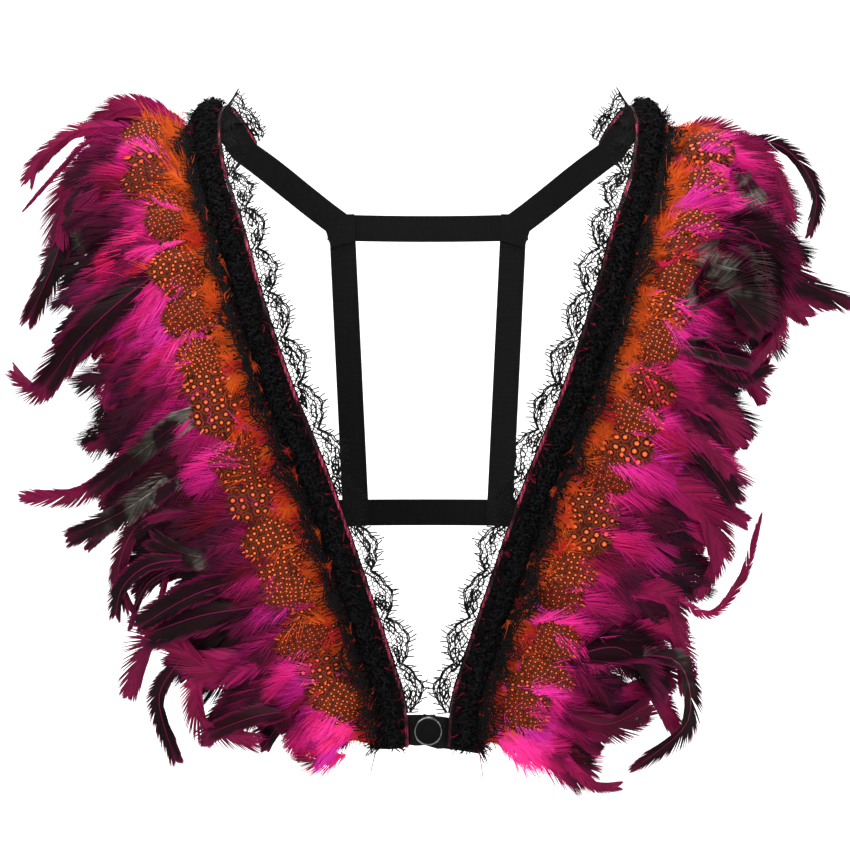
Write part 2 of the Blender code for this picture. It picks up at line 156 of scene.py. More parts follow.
def onSheet(spots):
    # places in the square picture onto the sheet of feathers, as the camera sees them
    spots = np.array(spots, float)
    middle = camera["picture"] / 2
    y = np.full(len(spots), camera["firstDepth"])
    for k in range(camera["rounds"]):
        scale = camera["across"] / camera["picture"] * (y - camera["place"][1]) / -camera["place"][1]
        x = np.abs((spots[:, 0] - middle) * scale + camera["place"][0])
        z = (middle - spots[:, 1]) * scale + camera["place"][2]
        y = fallSurface(x, z)
    return np.stack([x, y, z], 1)


def linear(hexCode):
    parts = [int(hexCode[i:i + 2], 16) / 255 for i in (1, 3, 5)]
    return (*[c / 12.92 if c <= 0.04045 else ((c + 0.055) / 1.055) ** 2.4 for c in parts], 1.0)


def addNode(tree, kind, settings=None, links=None, stops=()):
    # settings are sockets, by name or number, or the node's own
    # a link is (node, output), and stops fill a colour ramp
    node = tree.nodes.new("ShaderNode" + kind)
    for key, value in (settings or {}).items():
        if isinstance(key, int) or key in node.inputs:
            node.inputs[key].default_value = value
        else:
            setattr(node, key, value)
    for key, (source, output) in (links or {}).items():
        tree.links.new(source.outputs[output], node.inputs[key])
    for place, colour in stops[2:]:
        node.color_ramp.elements.new(1.0)
    for number, (place, colour) in enumerate(stops):
        node.color_ramp.elements[number].position = place
        node.color_ramp.elements[number].color = linear(colour)
    return node


def newMaterial(name):
    made = bpy.data.materials.new(name)
    made.use_nodes = True
    made.node_tree.nodes.clear()
    return made, made.node_tree


def finished(made, settings, links=None):
    shader = addNode(made.node_tree, "BsdfPrincipled", settings, links)
    addNode(made.node_tree, "OutputMaterial", None, {"Surface": (shader, "BSDF")})
    return made


def dyeParts(tree):
    # the dye attribute holds place along the feather, place on the barb and a number for each feather
    dye = addNode(tree, "Attribute", {"attribute_name": "dye"})
    return addNode(tree, "SeparateColor", None, {"Color": (dye, "Color")})


def featherTone(tree, parts, spread):
    # the place along the feather, shifted from feather to feather by up to half the spread each way
    shift = addNode(tree, "Math", {"operation": "MULTIPLY_ADD", 1: spread, 2: -spread / 2},
                    {0: (parts, "Blue")})
    return addNode(tree, "Math", {"operation": "ADD"}, {0: (parts, "Red"), 1: (shift, "Value")})


def softFeather():
    # dyed cock's saddle feathers: matt down at the root, a smoother wine-red web towards the tip
    made, tree = newMaterial("dyedSaddleFeather")
    parts = dyeParts(tree)
    tone = featherTone(tree, parts, 0.26)
    ramp = addNode(tree, "ValToRGB", None, {"Fac": (tone, "Value")}, (
        (0.0, "#F0369A"), (0.18, "#D01C76"), (0.34, "#A01256"),
        (0.50, "#6A0C38"), (0.70, "#3A0920"), (1.0, "#12070C")))
    hue = addNode(tree, "ValToRGB", None, {"Fac": (parts, "Blue")}, (
        (0.0, "#D4C6FF"), (0.22, "#FFFFFF"), (0.76, "#FFFFFF"), (1.0, "#FFBE8A")))
    dyed = addNode(tree, "Mix", {"data_type": "RGBA", "blend_type": "MULTIPLY", 0: 1.0},
                   {6: (ramp, "Color"), 7: (hue, "Color")})
    return finished(made, {"Roughness": 0.75, "Sheen Weight": 0.06, "Sheen Roughness": 0.45,
                           "Sheen Tint": linear("#FF86C8"), "Specular IOR Level": 0.08},
                    {"Base Color": (dyed, 2)})


def orangeDown():
    # dyed chicken down: matt, uneven between rust, orange and red, darkest at its root as painted shade under
    # the other tufts
    made, tree = newMaterial("dyedChickenDown")
    parts = dyeParts(tree)
    ramp = addNode(tree, "ValToRGB", None, {"Fac": (parts, "Blue")}, (
        (0.0, "#8A2E0C"), (0.3, "#BA4612"), (0.5, "#D4561A"), (0.68, "#BE2C14"), (1.0, "#A0142E")))
    # painted shade: each tuft darkens over the first third of its length towards the root
    paintedRootShade = addNode(tree, "MapRange", {"From Max": 0.35, "To Min": 0.75, "To Max": 0.0},
                   {"Value": (parts, "Red")})
    shade = addNode(tree, "Mix", {"data_type": "RGBA", 7: linear("#4A1206")},
                    {0: (paintedRootShade, "Result"), 6: (ramp, "Color")})
    return finished(made, {"Roughness": 0.8, "Sheen Weight": 0.05, "Sheen Roughness": 0.5,
                           "Sheen Tint": linear("#FFA060"), "Specular IOR Level": 0.08},
                    {"Base Color": (shade, 2)})


def cockFeather():
    # dyed cock's tail: smooth webs, half of them crimson, half black with wine edges, and a green-grey sheen
    # painted into the colour
    made, tree = newMaterial("dyedCockTail")
    parts = dyeParts(tree)
    crimson = addNode(tree, "ValToRGB", None, {"Fac": (parts, "Red")}, (
        (0.0, "#B81870"), (0.3, "#8C1244"), (0.65, "#640D30"), (1.0, "#7A1440")))
    dark = addNode(tree, "ValToRGB", None, {"Fac": (parts, "Red")}, (
        (0.0, "#5A0C34"), (0.22, "#1E0A12"), (0.6, "#0B0608"), (0.85, "#14080C"), (1.0, "#4A0F2A")))
    kind = addNode(tree, "MapRange", {"From Min": 0.42, "From Max": 0.56}, {"Value": (parts, "Blue")})
    web = addNode(tree, "Mix", {"data_type": "RGBA"},
                  {0: (kind, "Result"), 6: (crimson, "Color"), 7: (dark, "Color")})
    # the place along the feather is the same for a whole barb, so this noise streaks barb by barb
    lie = addNode(tree, "CombineXYZ", None, {"X": (parts, "Red"), "Y": (parts, "Blue")})
    streak = addNode(tree, "TexNoise", {"Scale": 38.0, "Detail": 2.0}, {"Vector": (lie, "Vector")})
    shade = addNode(tree, "MapRange", {"From Min": 0.36, "From Max": 0.60, "To Min": 0.55, "To Max": 0.0},
                    {"Value": (streak, "Fac")})
    streaked = addNode(tree, "Mix", {"data_type": "RGBA", 7: linear("#240610")},
                       {0: (shade, "Result"), 6: (web, 2)})
    # wine edges, faint on the glossiest feathers
    rim = addNode(tree, "MapRange", {"From Min": 0.66, "From Max": 0.95, "To Max": 0.7},
                  {"Value": (parts, "Green")})
    plain = addNode(tree, "MapRange", {"From Min": 0.8, "From Max": 0.95, "To Min": 1.0, "To Max": 0.25},
                    {"Value": (parts, "Blue")})
    rimShare = addNode(tree, "Math", {"operation": "MULTIPLY"}, {0: (rim, "Result"), 1: (plain, "Result")})
    edged = addNode(tree, "Mix", {"data_type": "RGBA", 7: linear("#6E1040")},
                    {0: (rimShare, "Value"), 6: (streaked, 2)})
    # painted sheen: a green-grey highlight colour in patches, on the web's inner part, on single barbs and on
    # some of the feathers
    coord = addNode(tree, "TexCoord")
    patch = addNode(tree, "TexNoise", {"Scale": 60.0, "Detail": 3.0}, {"Vector": (coord, "Object")})
    spots = addNode(tree, "MapRange", {"From Min": 0.47, "From Max": 0.62}, {"Value": (patch, "Fac")})
    zone = addNode(tree, "ValToRGB", None, {"Fac": (parts, "Red")}, (
        (0.02, "#000000"), (0.2, "#FFFFFF"), (0.45, "#8A8A8A"), (0.75, "#000000")))
    barbwise = addNode(tree, "MapRange", {"From Min": 0.42, "From Max": 0.60, "To Min": 0.25, "To Max": 0.95},
                       {"Value": (streak, "Fac")})
    some = addNode(tree, "MapRange", {"From Min": 0.68, "From Max": 0.8, "To Max": 0.85},
                   {"Value": (parts, "Blue")})
    paintedSheen = (spots, "Result")
    for factor in ((zone, "Color"), (barbwise, "Result"), (some, "Result")):
        paintedSheen = (addNode(tree, "Math", {"operation": "MULTIPLY"}, {0: paintedSheen, 1: factor}), "Value")
    green = addNode(tree, "Mix", {"data_type": "RGBA", 7: linear("#848C7C")}, {0: paintedSheen, 6: (edged, 2)})
    return finished(made, {"Roughness": 0.34, "Specular IOR Level": 0.045,
                           "Specular Tint": linear("#E2EBDD")}, {"Base Color": (green, 2)})


def spottedFeather():
    # dyed guinea fowl: brown ground with round spots, one about every 3.7 mm, each ringed dark
    made, tree = newMaterial("dyedGuineaFowl")
    coord = addNode(tree, "UVMap", {"uv_map": "blade"})
    parts = dyeParts(tree)
    spots = addNode(tree, "TexVoronoi", {"voronoi_dimensions": "2D", "Scale": 0.27, "Randomness": 0.5},
                    {"Vector": (coord, "UV")})
    speck = addNode(tree, "TexNoise", {"Scale": 1.6, "Detail": 3.0}, {"Vector": (coord, "UV")})
    rough = addNode(tree, "Math", {"operation": "MULTIPLY_ADD", 1: 0.12, 2: -0.06}, {0: (speck, "Fac")})
    fewer = addNode(tree, "Math", {"operation": "MULTIPLY_ADD", 1: 0.07},
                    {0: (parts, "Blue"), 2: (rough, "Value")})
    ragged = addNode(tree, "Math", {"operation": "ADD"}, {0: (spots, "Distance"), 1: (fewer, "Value")})
    ramp = addNode(tree, "ValToRGB", None, {"Fac": (ragged, "Value")}, (
        (0.0, "#F88040"), (0.19, "#E25522"), (0.26, "#1A0502"),
        (0.40, "#2A0A04"), (0.50, "#702C0E"), (0.62, "#3A1006")))
    red = addNode(tree, "MapRange", {"From Min": 0.55, "To Max": 0.4}, {"Value": (parts, "Blue")})
    dyed = addNode(tree, "Mix", {"data_type": "RGBA", "blend_type": "MULTIPLY", 7: linear("#E0603A")},
                   {0: (red, "Result"), 6: (ramp, "Color")})
    bump = addNode(tree, "Bump", {"Strength": 0.3, "Distance": 0.0004}, {"Height": (speck, "Fac")})
    return finished(made, {"Roughness": 0.62, "Specular IOR Level": 0.08},
                    {"Base Color": (dyed, 2), "Normal": (bump, "Normal")})


def dullThread(name, grain, stops, roughness):
    # spun thread or cotton tape: matt, mottled at the size of its fibres
    made, tree = newMaterial(name)
    coord = addNode(tree, "TexCoord")
    mottle = addNode(tree, "TexNoise", {"Scale": grain, "Detail": 2.0}, {"Vector": (coord, "Object")})
    ramp = addNode(tree, "ValToRGB", None, {"Fac": (mottle, "Fac")}, stops)
    return finished(made, {"Roughness": roughness, "Specular IOR Level": 0.1},
                    {"Base Color": (ramp, "Color")})


def blackYarn():
    # looped acrylic yarn: matt black, darkest at each strand's root as painted shade and greyer towards its
    # tip as a painted highlight, shifted at random from strand to strand, with a few dark red ends
    made, tree = newMaterial("loopedAcrylicYarn")
    parts = dyeParts(tree)
    tone = featherTone(tree, parts, 0.6)
    ramp = addNode(tree, "ValToRGB", None, {"Fac": (tone, "Value")}, (
        (0.0, "#020202"), (0.65, "#080809"), (1.0, "#161518")))
    few = addNode(tree, "MapRange", {"From Min": 0.90, "From Max": 0.93}, {"Value": (parts, "Blue")})
    both = addNode(tree, "Mix", {"data_type": "RGBA", 7: linear("#5A0E1C")},
                   {0: (few, "Result"), 6: (ramp, "Color")})
    return finished(made, {"Roughness": 0.95, "Specular IOR Level": 0.06}, {"Base Color": (both, 2)})


def wovenElastic(name, direction):
    # knitted polyester elastic: cross ribs every 1.2 mm, drawn twice as coarse as real so that they show
    made, tree = newMaterial(name)
    coord = addNode(tree, "TexCoord")
    turn = Vector(direction).to_track_quat("X", "Z").inverted().to_euler()
    lie = addNode(tree, "Mapping", {"Rotation": tuple(turn)}, {"Vector": (coord, "Object")})
    ribs = addNode(tree, "TexWave", {"wave_type": "BANDS", "bands_direction": "X", "Scale": 260.0,
                                     "Distortion": 1.2, "Detail": 1.0, "Detail Scale": 3.0},
                   {"Vector": (lie, "Vector")})
    fuzz = addNode(tree, "TexNoise", {"Scale": 700.0, "Detail": 3.0}, {"Vector": (coord, "Object")})
    both = addNode(tree, "Math", {"operation": "MULTIPLY_ADD", 1: 0.5}, {0: (fuzz, "Fac"), 2: (ribs, "Fac")})
    ramp = addNode(tree, "ValToRGB", None, {"Fac": (both, "Value")}, ((0.2, "#040404"), (1.0, "#0D0D0E")))
    bump = addNode(tree, "Bump", {"Strength": 0.5, "Distance": 0.0004}, {"Height": (both, "Value")})
    return finished(made, {"Roughness": 0.75, "Specular IOR Level": 0.12},
                    {"Base Color": (ramp, "Color"), "Normal": (bump, "Normal")})


def satinPiping():
    # satin-covered piping: rose pink, twisted every 2 mm, darkened nearly to black in noise patches
    made, tree = newMaterial("satinPiping")
    coord = addNode(tree, "TexCoord")
    twist = addNode(tree, "TexWave", {"Scale": 160.0, "Distortion": 2.0, "Detail": 1.0},
                    {"Vector": (coord, "Object")})
    ramp = addNode(tree, "ValToRGB", None, {"Fac": (twist, "Fac")}, (
        (0.0, "#7A1430"), (0.5, "#B82A50"), (1.0, "#DC5074")))
    patch = addNode(tree, "TexNoise", {"Scale": 55.0, "Detail": 3.0}, {"Vector": (coord, "Object")})
    shaded = addNode(tree, "MapRange", {"From Min": 0.48, "From Max": 0.60, "To Min": 0.96, "To Max": 0.1},
                     {"Value": (patch, "Fac")})
    darkenedPatches = addNode(tree, "Mix", {"data_type": "RGBA", 7: linear("#16060A")},
                     {0: (shaded, "Result"), 6: (ramp, "Color")})
    bump = addNode(tree, "Bump", {"Strength": 0.4, "Distance": 0.0003}, {"Height": (twist, "Fac")})
    return finished(made, {"Roughness": 0.5, "Specular IOR Level": 0.25},
                    {"Base Color": (darkenedPatches, 2), "Normal": (bump, "Normal")})


def nickelPlate():
    # black nickel on pressed steel: dark, bright only where the rolled rim mirrors a lamp, finely marked
    made, tree = newMaterial("blackNickelPlate")
    coord = addNode(tree, "TexCoord")
    worn = addNode(tree, "TexNoise", {"Scale": 420.0, "Detail": 4.0}, {"Vector": (coord, "Object")})
    gloss = addNode(tree, "MapRange", {"From Min": 0.3, "From Max": 0.7, "To Min": 0.14, "To Max": 0.34},
                    {"Value": (worn, "Fac")})
    ramp = addNode(tree, "ValToRGB", None, {"Fac": (worn, "Fac")}, ((0.3, "#4E4E52"), (0.7, "#7A7A7E")))
    return finished(made, {"Metallic": 1.0}, {"Base Color": (ramp, "Color"), "Roughness": (gloss, "Result")})


def blackLacquerDarkReflection():
    # black lacquer in the cap's dish: nearly black, with a dull gloss, and also a painted dark reflection in
    # place of the bright room a metal dish would mirror
    made = newMaterial("blackLacquerDarkReflection")[0]
    return finished(made, {"Base Color": linear("#040404"), "Roughness": 0.42, "Specular IOR Level": 0.06})


def addObject(name, data):
    made = bpy.data.objects.new(name, data)
    bpy.context.scene.collection.objects.link(made)
    return made


def joinedMesh(name, verts, tris, dye=None, blade=None, soft=None):
    # each vertex may have a dye, a UV place on its blade and a shading direction
    mesh = bpy.data.meshes.new(name)
    mesh.vertices.add(len(verts))
    mesh.vertices.foreach_set("co", verts.astype(np.float32).ravel())
    mesh.loops.add(len(tris) * 3)
    mesh.loops.foreach_set("vertex_index", tris.astype(np.int32).ravel())
    mesh.polygons.add(len(tris))
    mesh.polygons.foreach_set("loop_start", np.arange(0, len(tris) * 3, 3, dtype=np.int32))
    mesh.update(calc_edges=True)
    if dye is not None:
        layer = mesh.color_attributes.new("dye", "FLOAT_COLOR", "POINT")
        whole = np.concatenate([dye, np.ones((len(dye), 1))], 1)
        layer.data.foreach_set("color", whole.astype(np.float32).ravel())
    if blade is not None:
        layer = mesh.uv_layers.new(name="blade")
        layer.data.foreach_set("uv", blade[tris.ravel()].astype(np.float32).ravel())
    if soft is not None:
        mesh.shade_smooth()
        mesh.normals_split_custom_set_from_vertices(soft.tolist())
    return addObject(name, mesh)


def strands(points, widths, dye, soft=None):
    # flat tapering ribbons: (n, k, 3) points, half-width vectors and dye values, each ending in one tip
    # soft holds one shading direction for each ribbon
    n, k = points.shape[:2]
    per = 2 * (k - 1) + 1
    pairs = np.stack([points[:, :-1] - widths[:, :-1], points[:, :-1] + widths[:, :-1]], 2).reshape(n, -1, 3)
    verts = np.concatenate([pairs, points[:, -1:]], 1)
    tones = np.concatenate([np.repeat(dye[:, :-1], 2, axis=1), dye[:, -1:]], 1)
    faces = []
    for j in range(k - 2):
        faces += [(2 * j, 2 * j + 1, 2 * j + 3), (2 * j, 2 * j + 3, 2 * j + 2)]
    faces.append((2 * k - 4, 2 * k - 3, 2 * k - 2))
    tris = (np.arange(n)[:, None, None] * per + np.array(faces)[None]).reshape(-1, 3)
    made = verts.reshape(-1, 3), tris, tones.reshape(-1, 3)
    return made if soft is None else (*made, np.repeat(soft, per, axis=0))


def finishPiece(name, side, parts, material, node=None, last="soft"):
    # one mesh from parts of vertices, triangles and values, mirrored for the left
    # last names the values that come after the dye
    starts = np.cumsum([0] + [len(part[0]) for part in parts])
    verts, tris, *values = [np.concatenate(column) for column in zip(*[
        (part[0], part[1] + start, *part[2:]) for part, start in zip(parts, starts)])]
    values = dict(zip(("dye", last), values))
    if side == "left":
        verts, tris = verts * (-1, 1, 1), tris[:, ::-1]
        if "soft" in values:
            values["soft"] = values["soft"] * (-1, 1, 1)
    made = joinedMesh(name + side.title(), verts, tris, **values)
    made.data.materials.append(material)
    if node:
        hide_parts(node + "_" + side)
    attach(made, "root")
    print(made.name, len(tris))


def tubeFaces(stations, ring):
    # triangles of a closed tube of rings, with both ends capped
    index = np.arange(stations * ring).reshape(stations, ring)
    wrap = np.roll(index, -1, axis=1)
    a, b, c, d = index[:-1].ravel(), wrap[:-1].ravel(), wrap[1:].ravel(), index[1:].ravel()
    caps = [index[0, [0, k, k + 1]] for k in range(1, ring - 1)]
    caps += [index[-1, [0, k + 1, k]] for k in range(1, ring - 1)]
    return np.concatenate([np.stack([a, c, b], 1), np.stack([a, d, c], 1), np.array(caps)])


def lockAt(side, share):
    rows = np.array(lockRows[side])
    place = share * len(rows) - 0.5
    return [float(np.interp(place, np.arange(len(rows)), rows[:, k])) for k in range(3)]


# Where quills leave the band, their highest arch, and how far out they have turned to the front
# and lie on the sheet
quills = {"out": 0.012, "up": 0.004, "arch": 0.16, "turned": 0.060, "settled": 0.019}


def quillCurve(side, share, start, stop, lift, sway, count=22):
    # points from start to stop (shares) of the feather curve at this place down the band
    reach, fall, arch = lockAt(side, share)
    root, across, facing = bandFrame(rowEnd - share * (rowEnd - route["rowStart"]))
    root = root + across * quills["out"] + facing * quills["up"]
    size = route["featherReach"]
    tip = root + np.array([reach * sway[0], 0, -fall + sway[1]]) * size
    bend = (root + tip) / 2 + np.array([0, 0, (min(arch, quills["arch"]) + sway[2]) * size])
    t = np.linspace(start, stop, count)[:, None]
    spot = root * (1 - t) ** 2 + bend * 2 * t * (1 - t) + tip * t ** 2
    far = np.linalg.norm((spot - root)[:, [0, 2]], axis=1, keepdims=True)
    turn = np.minimum(1, far / quills["turned"])
    stack = unit(facing * (1 - turn) + np.array([0, -1, 0]) * turn)
    rise = np.minimum(1, far / quills["settled"])
    spot[:, 1] = fallSurface(spot[:, 0], spot[:, 2]) * rise[:, 0] + spot[:, 1] * (1 - rise[:, 0])
    return spot + stack * (quills["up"] * (1 - rise) + lift * rise), stack


def curlDown(rng, quill, span):
    # lets the outer end fall by a chance length
    quill[:, 2] -= np.linspace(0, 1, len(quill)) ** 2.5 * rng.uniform(*span)


# What all plumes share: the last barb's place, how unevenly barbs stand and wander, the longest
# one, how far shading leans out to the sides and follows a flat barb, and the quill's taper, tone
# and height over the web
vane = {
    "last": 0.995, "uneven": 0.4, "wander": 0.7, "longest": 1.04, "clumpLength": 0.06,
    "roundness": 0.35, "flatness": 0.3, "shaftTaper": 0.2, "shaftTone": 0.6, "shaftLift": 0.0004,
}


def plume(rng, quill, facing, style, number):
    # barbs on both sides of one quill, downy near the root where style["down"] says so
    n, bends = style["barbs"], style["bends"]
    t = np.tile(np.linspace(0, vane["last"], n), 2) + rng.normal(0, vane["uneven"] / n, 2 * n)
    t = np.clip(t, 0, 1)
    side = np.repeat([-1.0, 1.0], n)[:, None]
    downy = np.clip(1 - t / max(style["down"], 0.001), 0, 1)[:, None] ** 0.7
    place = np.linspace(0, 1, len(quill))
    base, run = sample(quill, place, t), unit(sample(np.gradient(quill, axis=0), place, t))
    front = sample(facing, place, t)
    front = unit(front - run * (front * run).sum(1, keepdims=True))
    roll = (style["roll"] + style["twist"] * t)[:, None]
    across = np.cross(run, front) * np.cos(roll) + front * np.sin(roll)
    normal = np.cross(across, run)
    # barbs lean and lengthen together in clumps
    groups = max(int(n / style["clump"]), 2)
    group = (t * groups * 0.999).astype(int)
    clump = rng.normal(0, 1, (2, groups))[(side[:, 0] > 0).astype(int), group][:, None]
    swell = np.minimum(1, (t / style["swell"]) ** 0.7)
    shape = swell * np.maximum(1 - t ** style["point"], 0) ** 0.6 + style["end"]
    closing = 1 - style["close"] * t ** 7
    angle = (np.radians(style["angle"] + style["open"] * (1 - t)) * closing)[:, None]
    angle = angle + np.radians(style["split"]) * clump * closing[:, None]
    lean = np.cos(angle) * run + np.sin(angle) * across * side + normal * style["cup"]
    loose = style["loose"] + style["downLoose"] * downy
    lean = unit(lean + rng.normal(0, 1, lean.shape) * loose)
    length = (style["half"] * shape * rng.uniform(1 - style["uneven"], vane["longest"], len(t)))[:, None]
    length = length * (1 + vane["clumpLength"] * clump) / np.maximum(np.sin(angle), 0.3)
    whole = np.linalg.norm(np.diff(quill, axis=0), axis=1).sum()
    length = np.minimum(length, (1 - t)[:, None] * whole + style["half"] * style["tip"])
    # each barb as a curved ribbon that tapers to its tip
    s = (1 - (1 - np.linspace(0, 1, bends)) ** style["crowd"])[None, :, None]
    wander = rng.normal(0, 1, lean.shape) * loose * vane["wander"]
    curve = run * style["sweep"] + wander
    curve[:, 2] -= style["droop"]
    points = base[:, None] + length[:, None] * (lean[:, None] * s + curve[:, None] * s ** 2)
    tilt = np.where(side > 0, style["tilt"], -style["tilt"])
    broad = unit(np.cross(normal, lean)) * np.cos(tilt) + normal * np.sin(tilt)
    width = (style["vaneWide"] + (style["downWide"] - style["vaneWide"]) * downy) / 2
    broad = broad * np.where((np.cross(broad, lean) * normal).sum(1, keepdims=True) < 0, -1, 1)
    soft = unit(normal + across * side * vane["roundness"] + np.cross(broad, lean) * vane["flatness"])
    widths = (broad * width)[:, None] * (1 - s ** style["blunt"])
    rootTone, tipTone = style["tone"]
    tone = rootTone + (tipTone - rootTone) * t
    dye = np.stack([np.repeat(tone[:, None], bends, 1), np.tile(s[0, :, 0], (len(t), 1)),
                    np.full((len(t), bends), number)], -1)
    shaft, up = quill[::2], facing[::2]
    thin = np.linspace(style["shaft"], style["shaft"] * vane["shaftTaper"], len(shaft))[:, None] / 2
    shaftWide = unit(np.cross(unit(np.gradient(shaft, axis=0)), up)) * thin
    shaftTone = np.linspace(rootTone * vane["shaftTone"], tipTone * vane["shaftTone"], len(shaft))
    shaftDye = np.stack([shaftTone, np.ones(len(shaft)), np.full(len(shaft), number)], -1)
    return [strands(points, widths, dye, soft),
            strands((shaft + up * vane["shaftLift"])[None], shaftWide[None], shaftDye[None], facing[:1])]


endLift = {"share": 0.84, "rise": 0.26, "top": 0.14, "fall": 0.05}   # last feathers kept up, first ones down


def swayAt(rng, share, turn):
    low = max(0.0, (share - endLift["share"]) / (1 - endLift["share"]))
    high = max(0.0, 1 - share / endLift["top"])
    return (rng.uniform(0.88, 1.02), rng.normal(0.0, turn) + endLift["rise"] * low - endLift["fall"] * high,
            rng.normal(0.0, 0.05))


saddle = {
    "half": 0.0130, "barbs": 124, "angle": 22, "open": 26, "loose": 0.03, "downLoose": 0.12,
    "vaneWide": 0.00074, "downWide": 0.00050, "swell": 0.3, "point": 2.6, "end": 0.12, "sweep": 0.22,
    "droop": 0.06, "cup": -0.12, "clump": 9, "split": 3, "bends": 3, "tilt": 0.12, "shaft": 0.0005,
    "uneven": 0.14, "tip": 0.6, "crowd": 1.0, "blunt": 2.0,
}
# Layers, back and front: count, start, run and lift of the feathers, tone from root to tip, and
# how far up they are downy
saddleLayers = {
    "Back": (
        (56, (0.00, 0.05), (0.18, 0.26), (0.000, 0.005), (0.50, 0.80), 2.00),
        (44, (0.20, 0.36), (0.34, 0.44), (0.000, 0.004), (0.30, 1.02), 0.40),
        (54, (0.12, 0.28), (0.32, 0.42), (0.004, 0.008), (0.16, 0.86), 0.60),
    ),
    "Front": (
        (60, (0.06, 0.18), (0.28, 0.38), (0.008, 0.012), (0.04, 0.62), 0.90),
        (50, (0.02, 0.11), (0.22, 0.33), (0.011, 0.0145), (-0.08, 0.34), 1.3),
    ),
}
# How single feathers differ, and where the longest one stops
saddleChance = {"stop": 0.72, "sway": 0.08, "curl": (-0.004, 0.012), "dye": 0.12, "size": (0.75, 1.2),
                "roll": 0.30, "twist": 0.4}
# How much darker the dye is down each row: share of the row and shift
dyeShift = {
    "left": ((0.0, -0.05), (0.12, 0.12), (0.28, -0.18), (0.45, 0.20),
             (0.62, 0.32), (0.80, 0.24), (0.90, -0.05), (1.0, -0.25)),
    "right": ((0.0, -0.30), (0.15, 0.10), (0.35, 0.08), (0.50, -0.04),
              (0.68, 0.18), (0.80, 0.28), (0.92, -0.05), (1.0, -0.25)),
}


def saddleRow(side, rng, material):
    darker, chance = np.array(dyeShift[side]), saddleChance
    for name, layers in saddleLayers.items():
        parts = []
        for count, start, run, lift, tone, down in layers:
            for i in range(count):
                share = (i + rng.random()) / count
                first = rng.uniform(*start)
                last = min(first + rng.uniform(*run), chance["stop"])
                quill, facing = quillCurve(side, share, first, last, rng.uniform(*lift),
                                           swayAt(rng, share, chance["sway"]))
                curlDown(rng, quill, chance["curl"])
                shift = rng.normal(0, chance["dye"]) + np.interp(share, darker[:, 0], darker[:, 1])
                style = dict(saddle, half=saddle["half"] * rng.uniform(*chance["size"]),
                             roll=rng.normal(0, chance["roll"]), twist=rng.normal(0, chance["twist"]),
                             down=down, close=0.7 if down < 0.8 else 0.1,
                             tone=(tone[0] + shift, tone[1] + shift))
                parts += plume(rng, quill, facing, style, rng.random())
        finishPiece("saddleFeathers" + name, side, parts, material,
                    "hackle_row" if name == "Back" else None)


cock = {
    "angle": 20, "open": 14, "loose": 0.016, "downLoose": 0.12, "down": 0.18, "vaneWide": 0.00130,
    "downWide": 0.0007, "swell": 0.22, "point": 4.0, "end": 0.05, "sweep": 0.25, "droop": 0.0, "cup": -0.16,
    "clump": 9, "split": 2.0, "bends": 4, "tilt": 0.35, "shaft": 0.0011, "uneven": 0.05, "close": 0.85,
    "tip": 0.3, "tone": (0.0, 1.0), "crowd": 1.9, "blunt": 4.0,
}
# Lead feathers: points on a quill, lift at its root and where it has risen, and barbs for a
# feather of no width and for each usual half width more, up to the widest
lead = {"points": 34, "rootLift": 0.002, "risen": 0.3, "roll": 0.15, "twist": 0.25,
        "barbs": 60, "usualHalf": 0.009, "widest": 1.6}
# The feathers between them, placed by chance
cockFill = {"count": 64, "start": (0.24, 0.42), "stop": (0.56, 0.75), "lift": (-0.006, 0.0015), "sway": 0.07,
            "points": 26, "curl": (0.0, 0.022), "half": (0.006, 0.0115), "roll": 0.25, "twist": 0.4,
            "barbs": 64, "split": 3.5, "vaneWide": 0.0018}
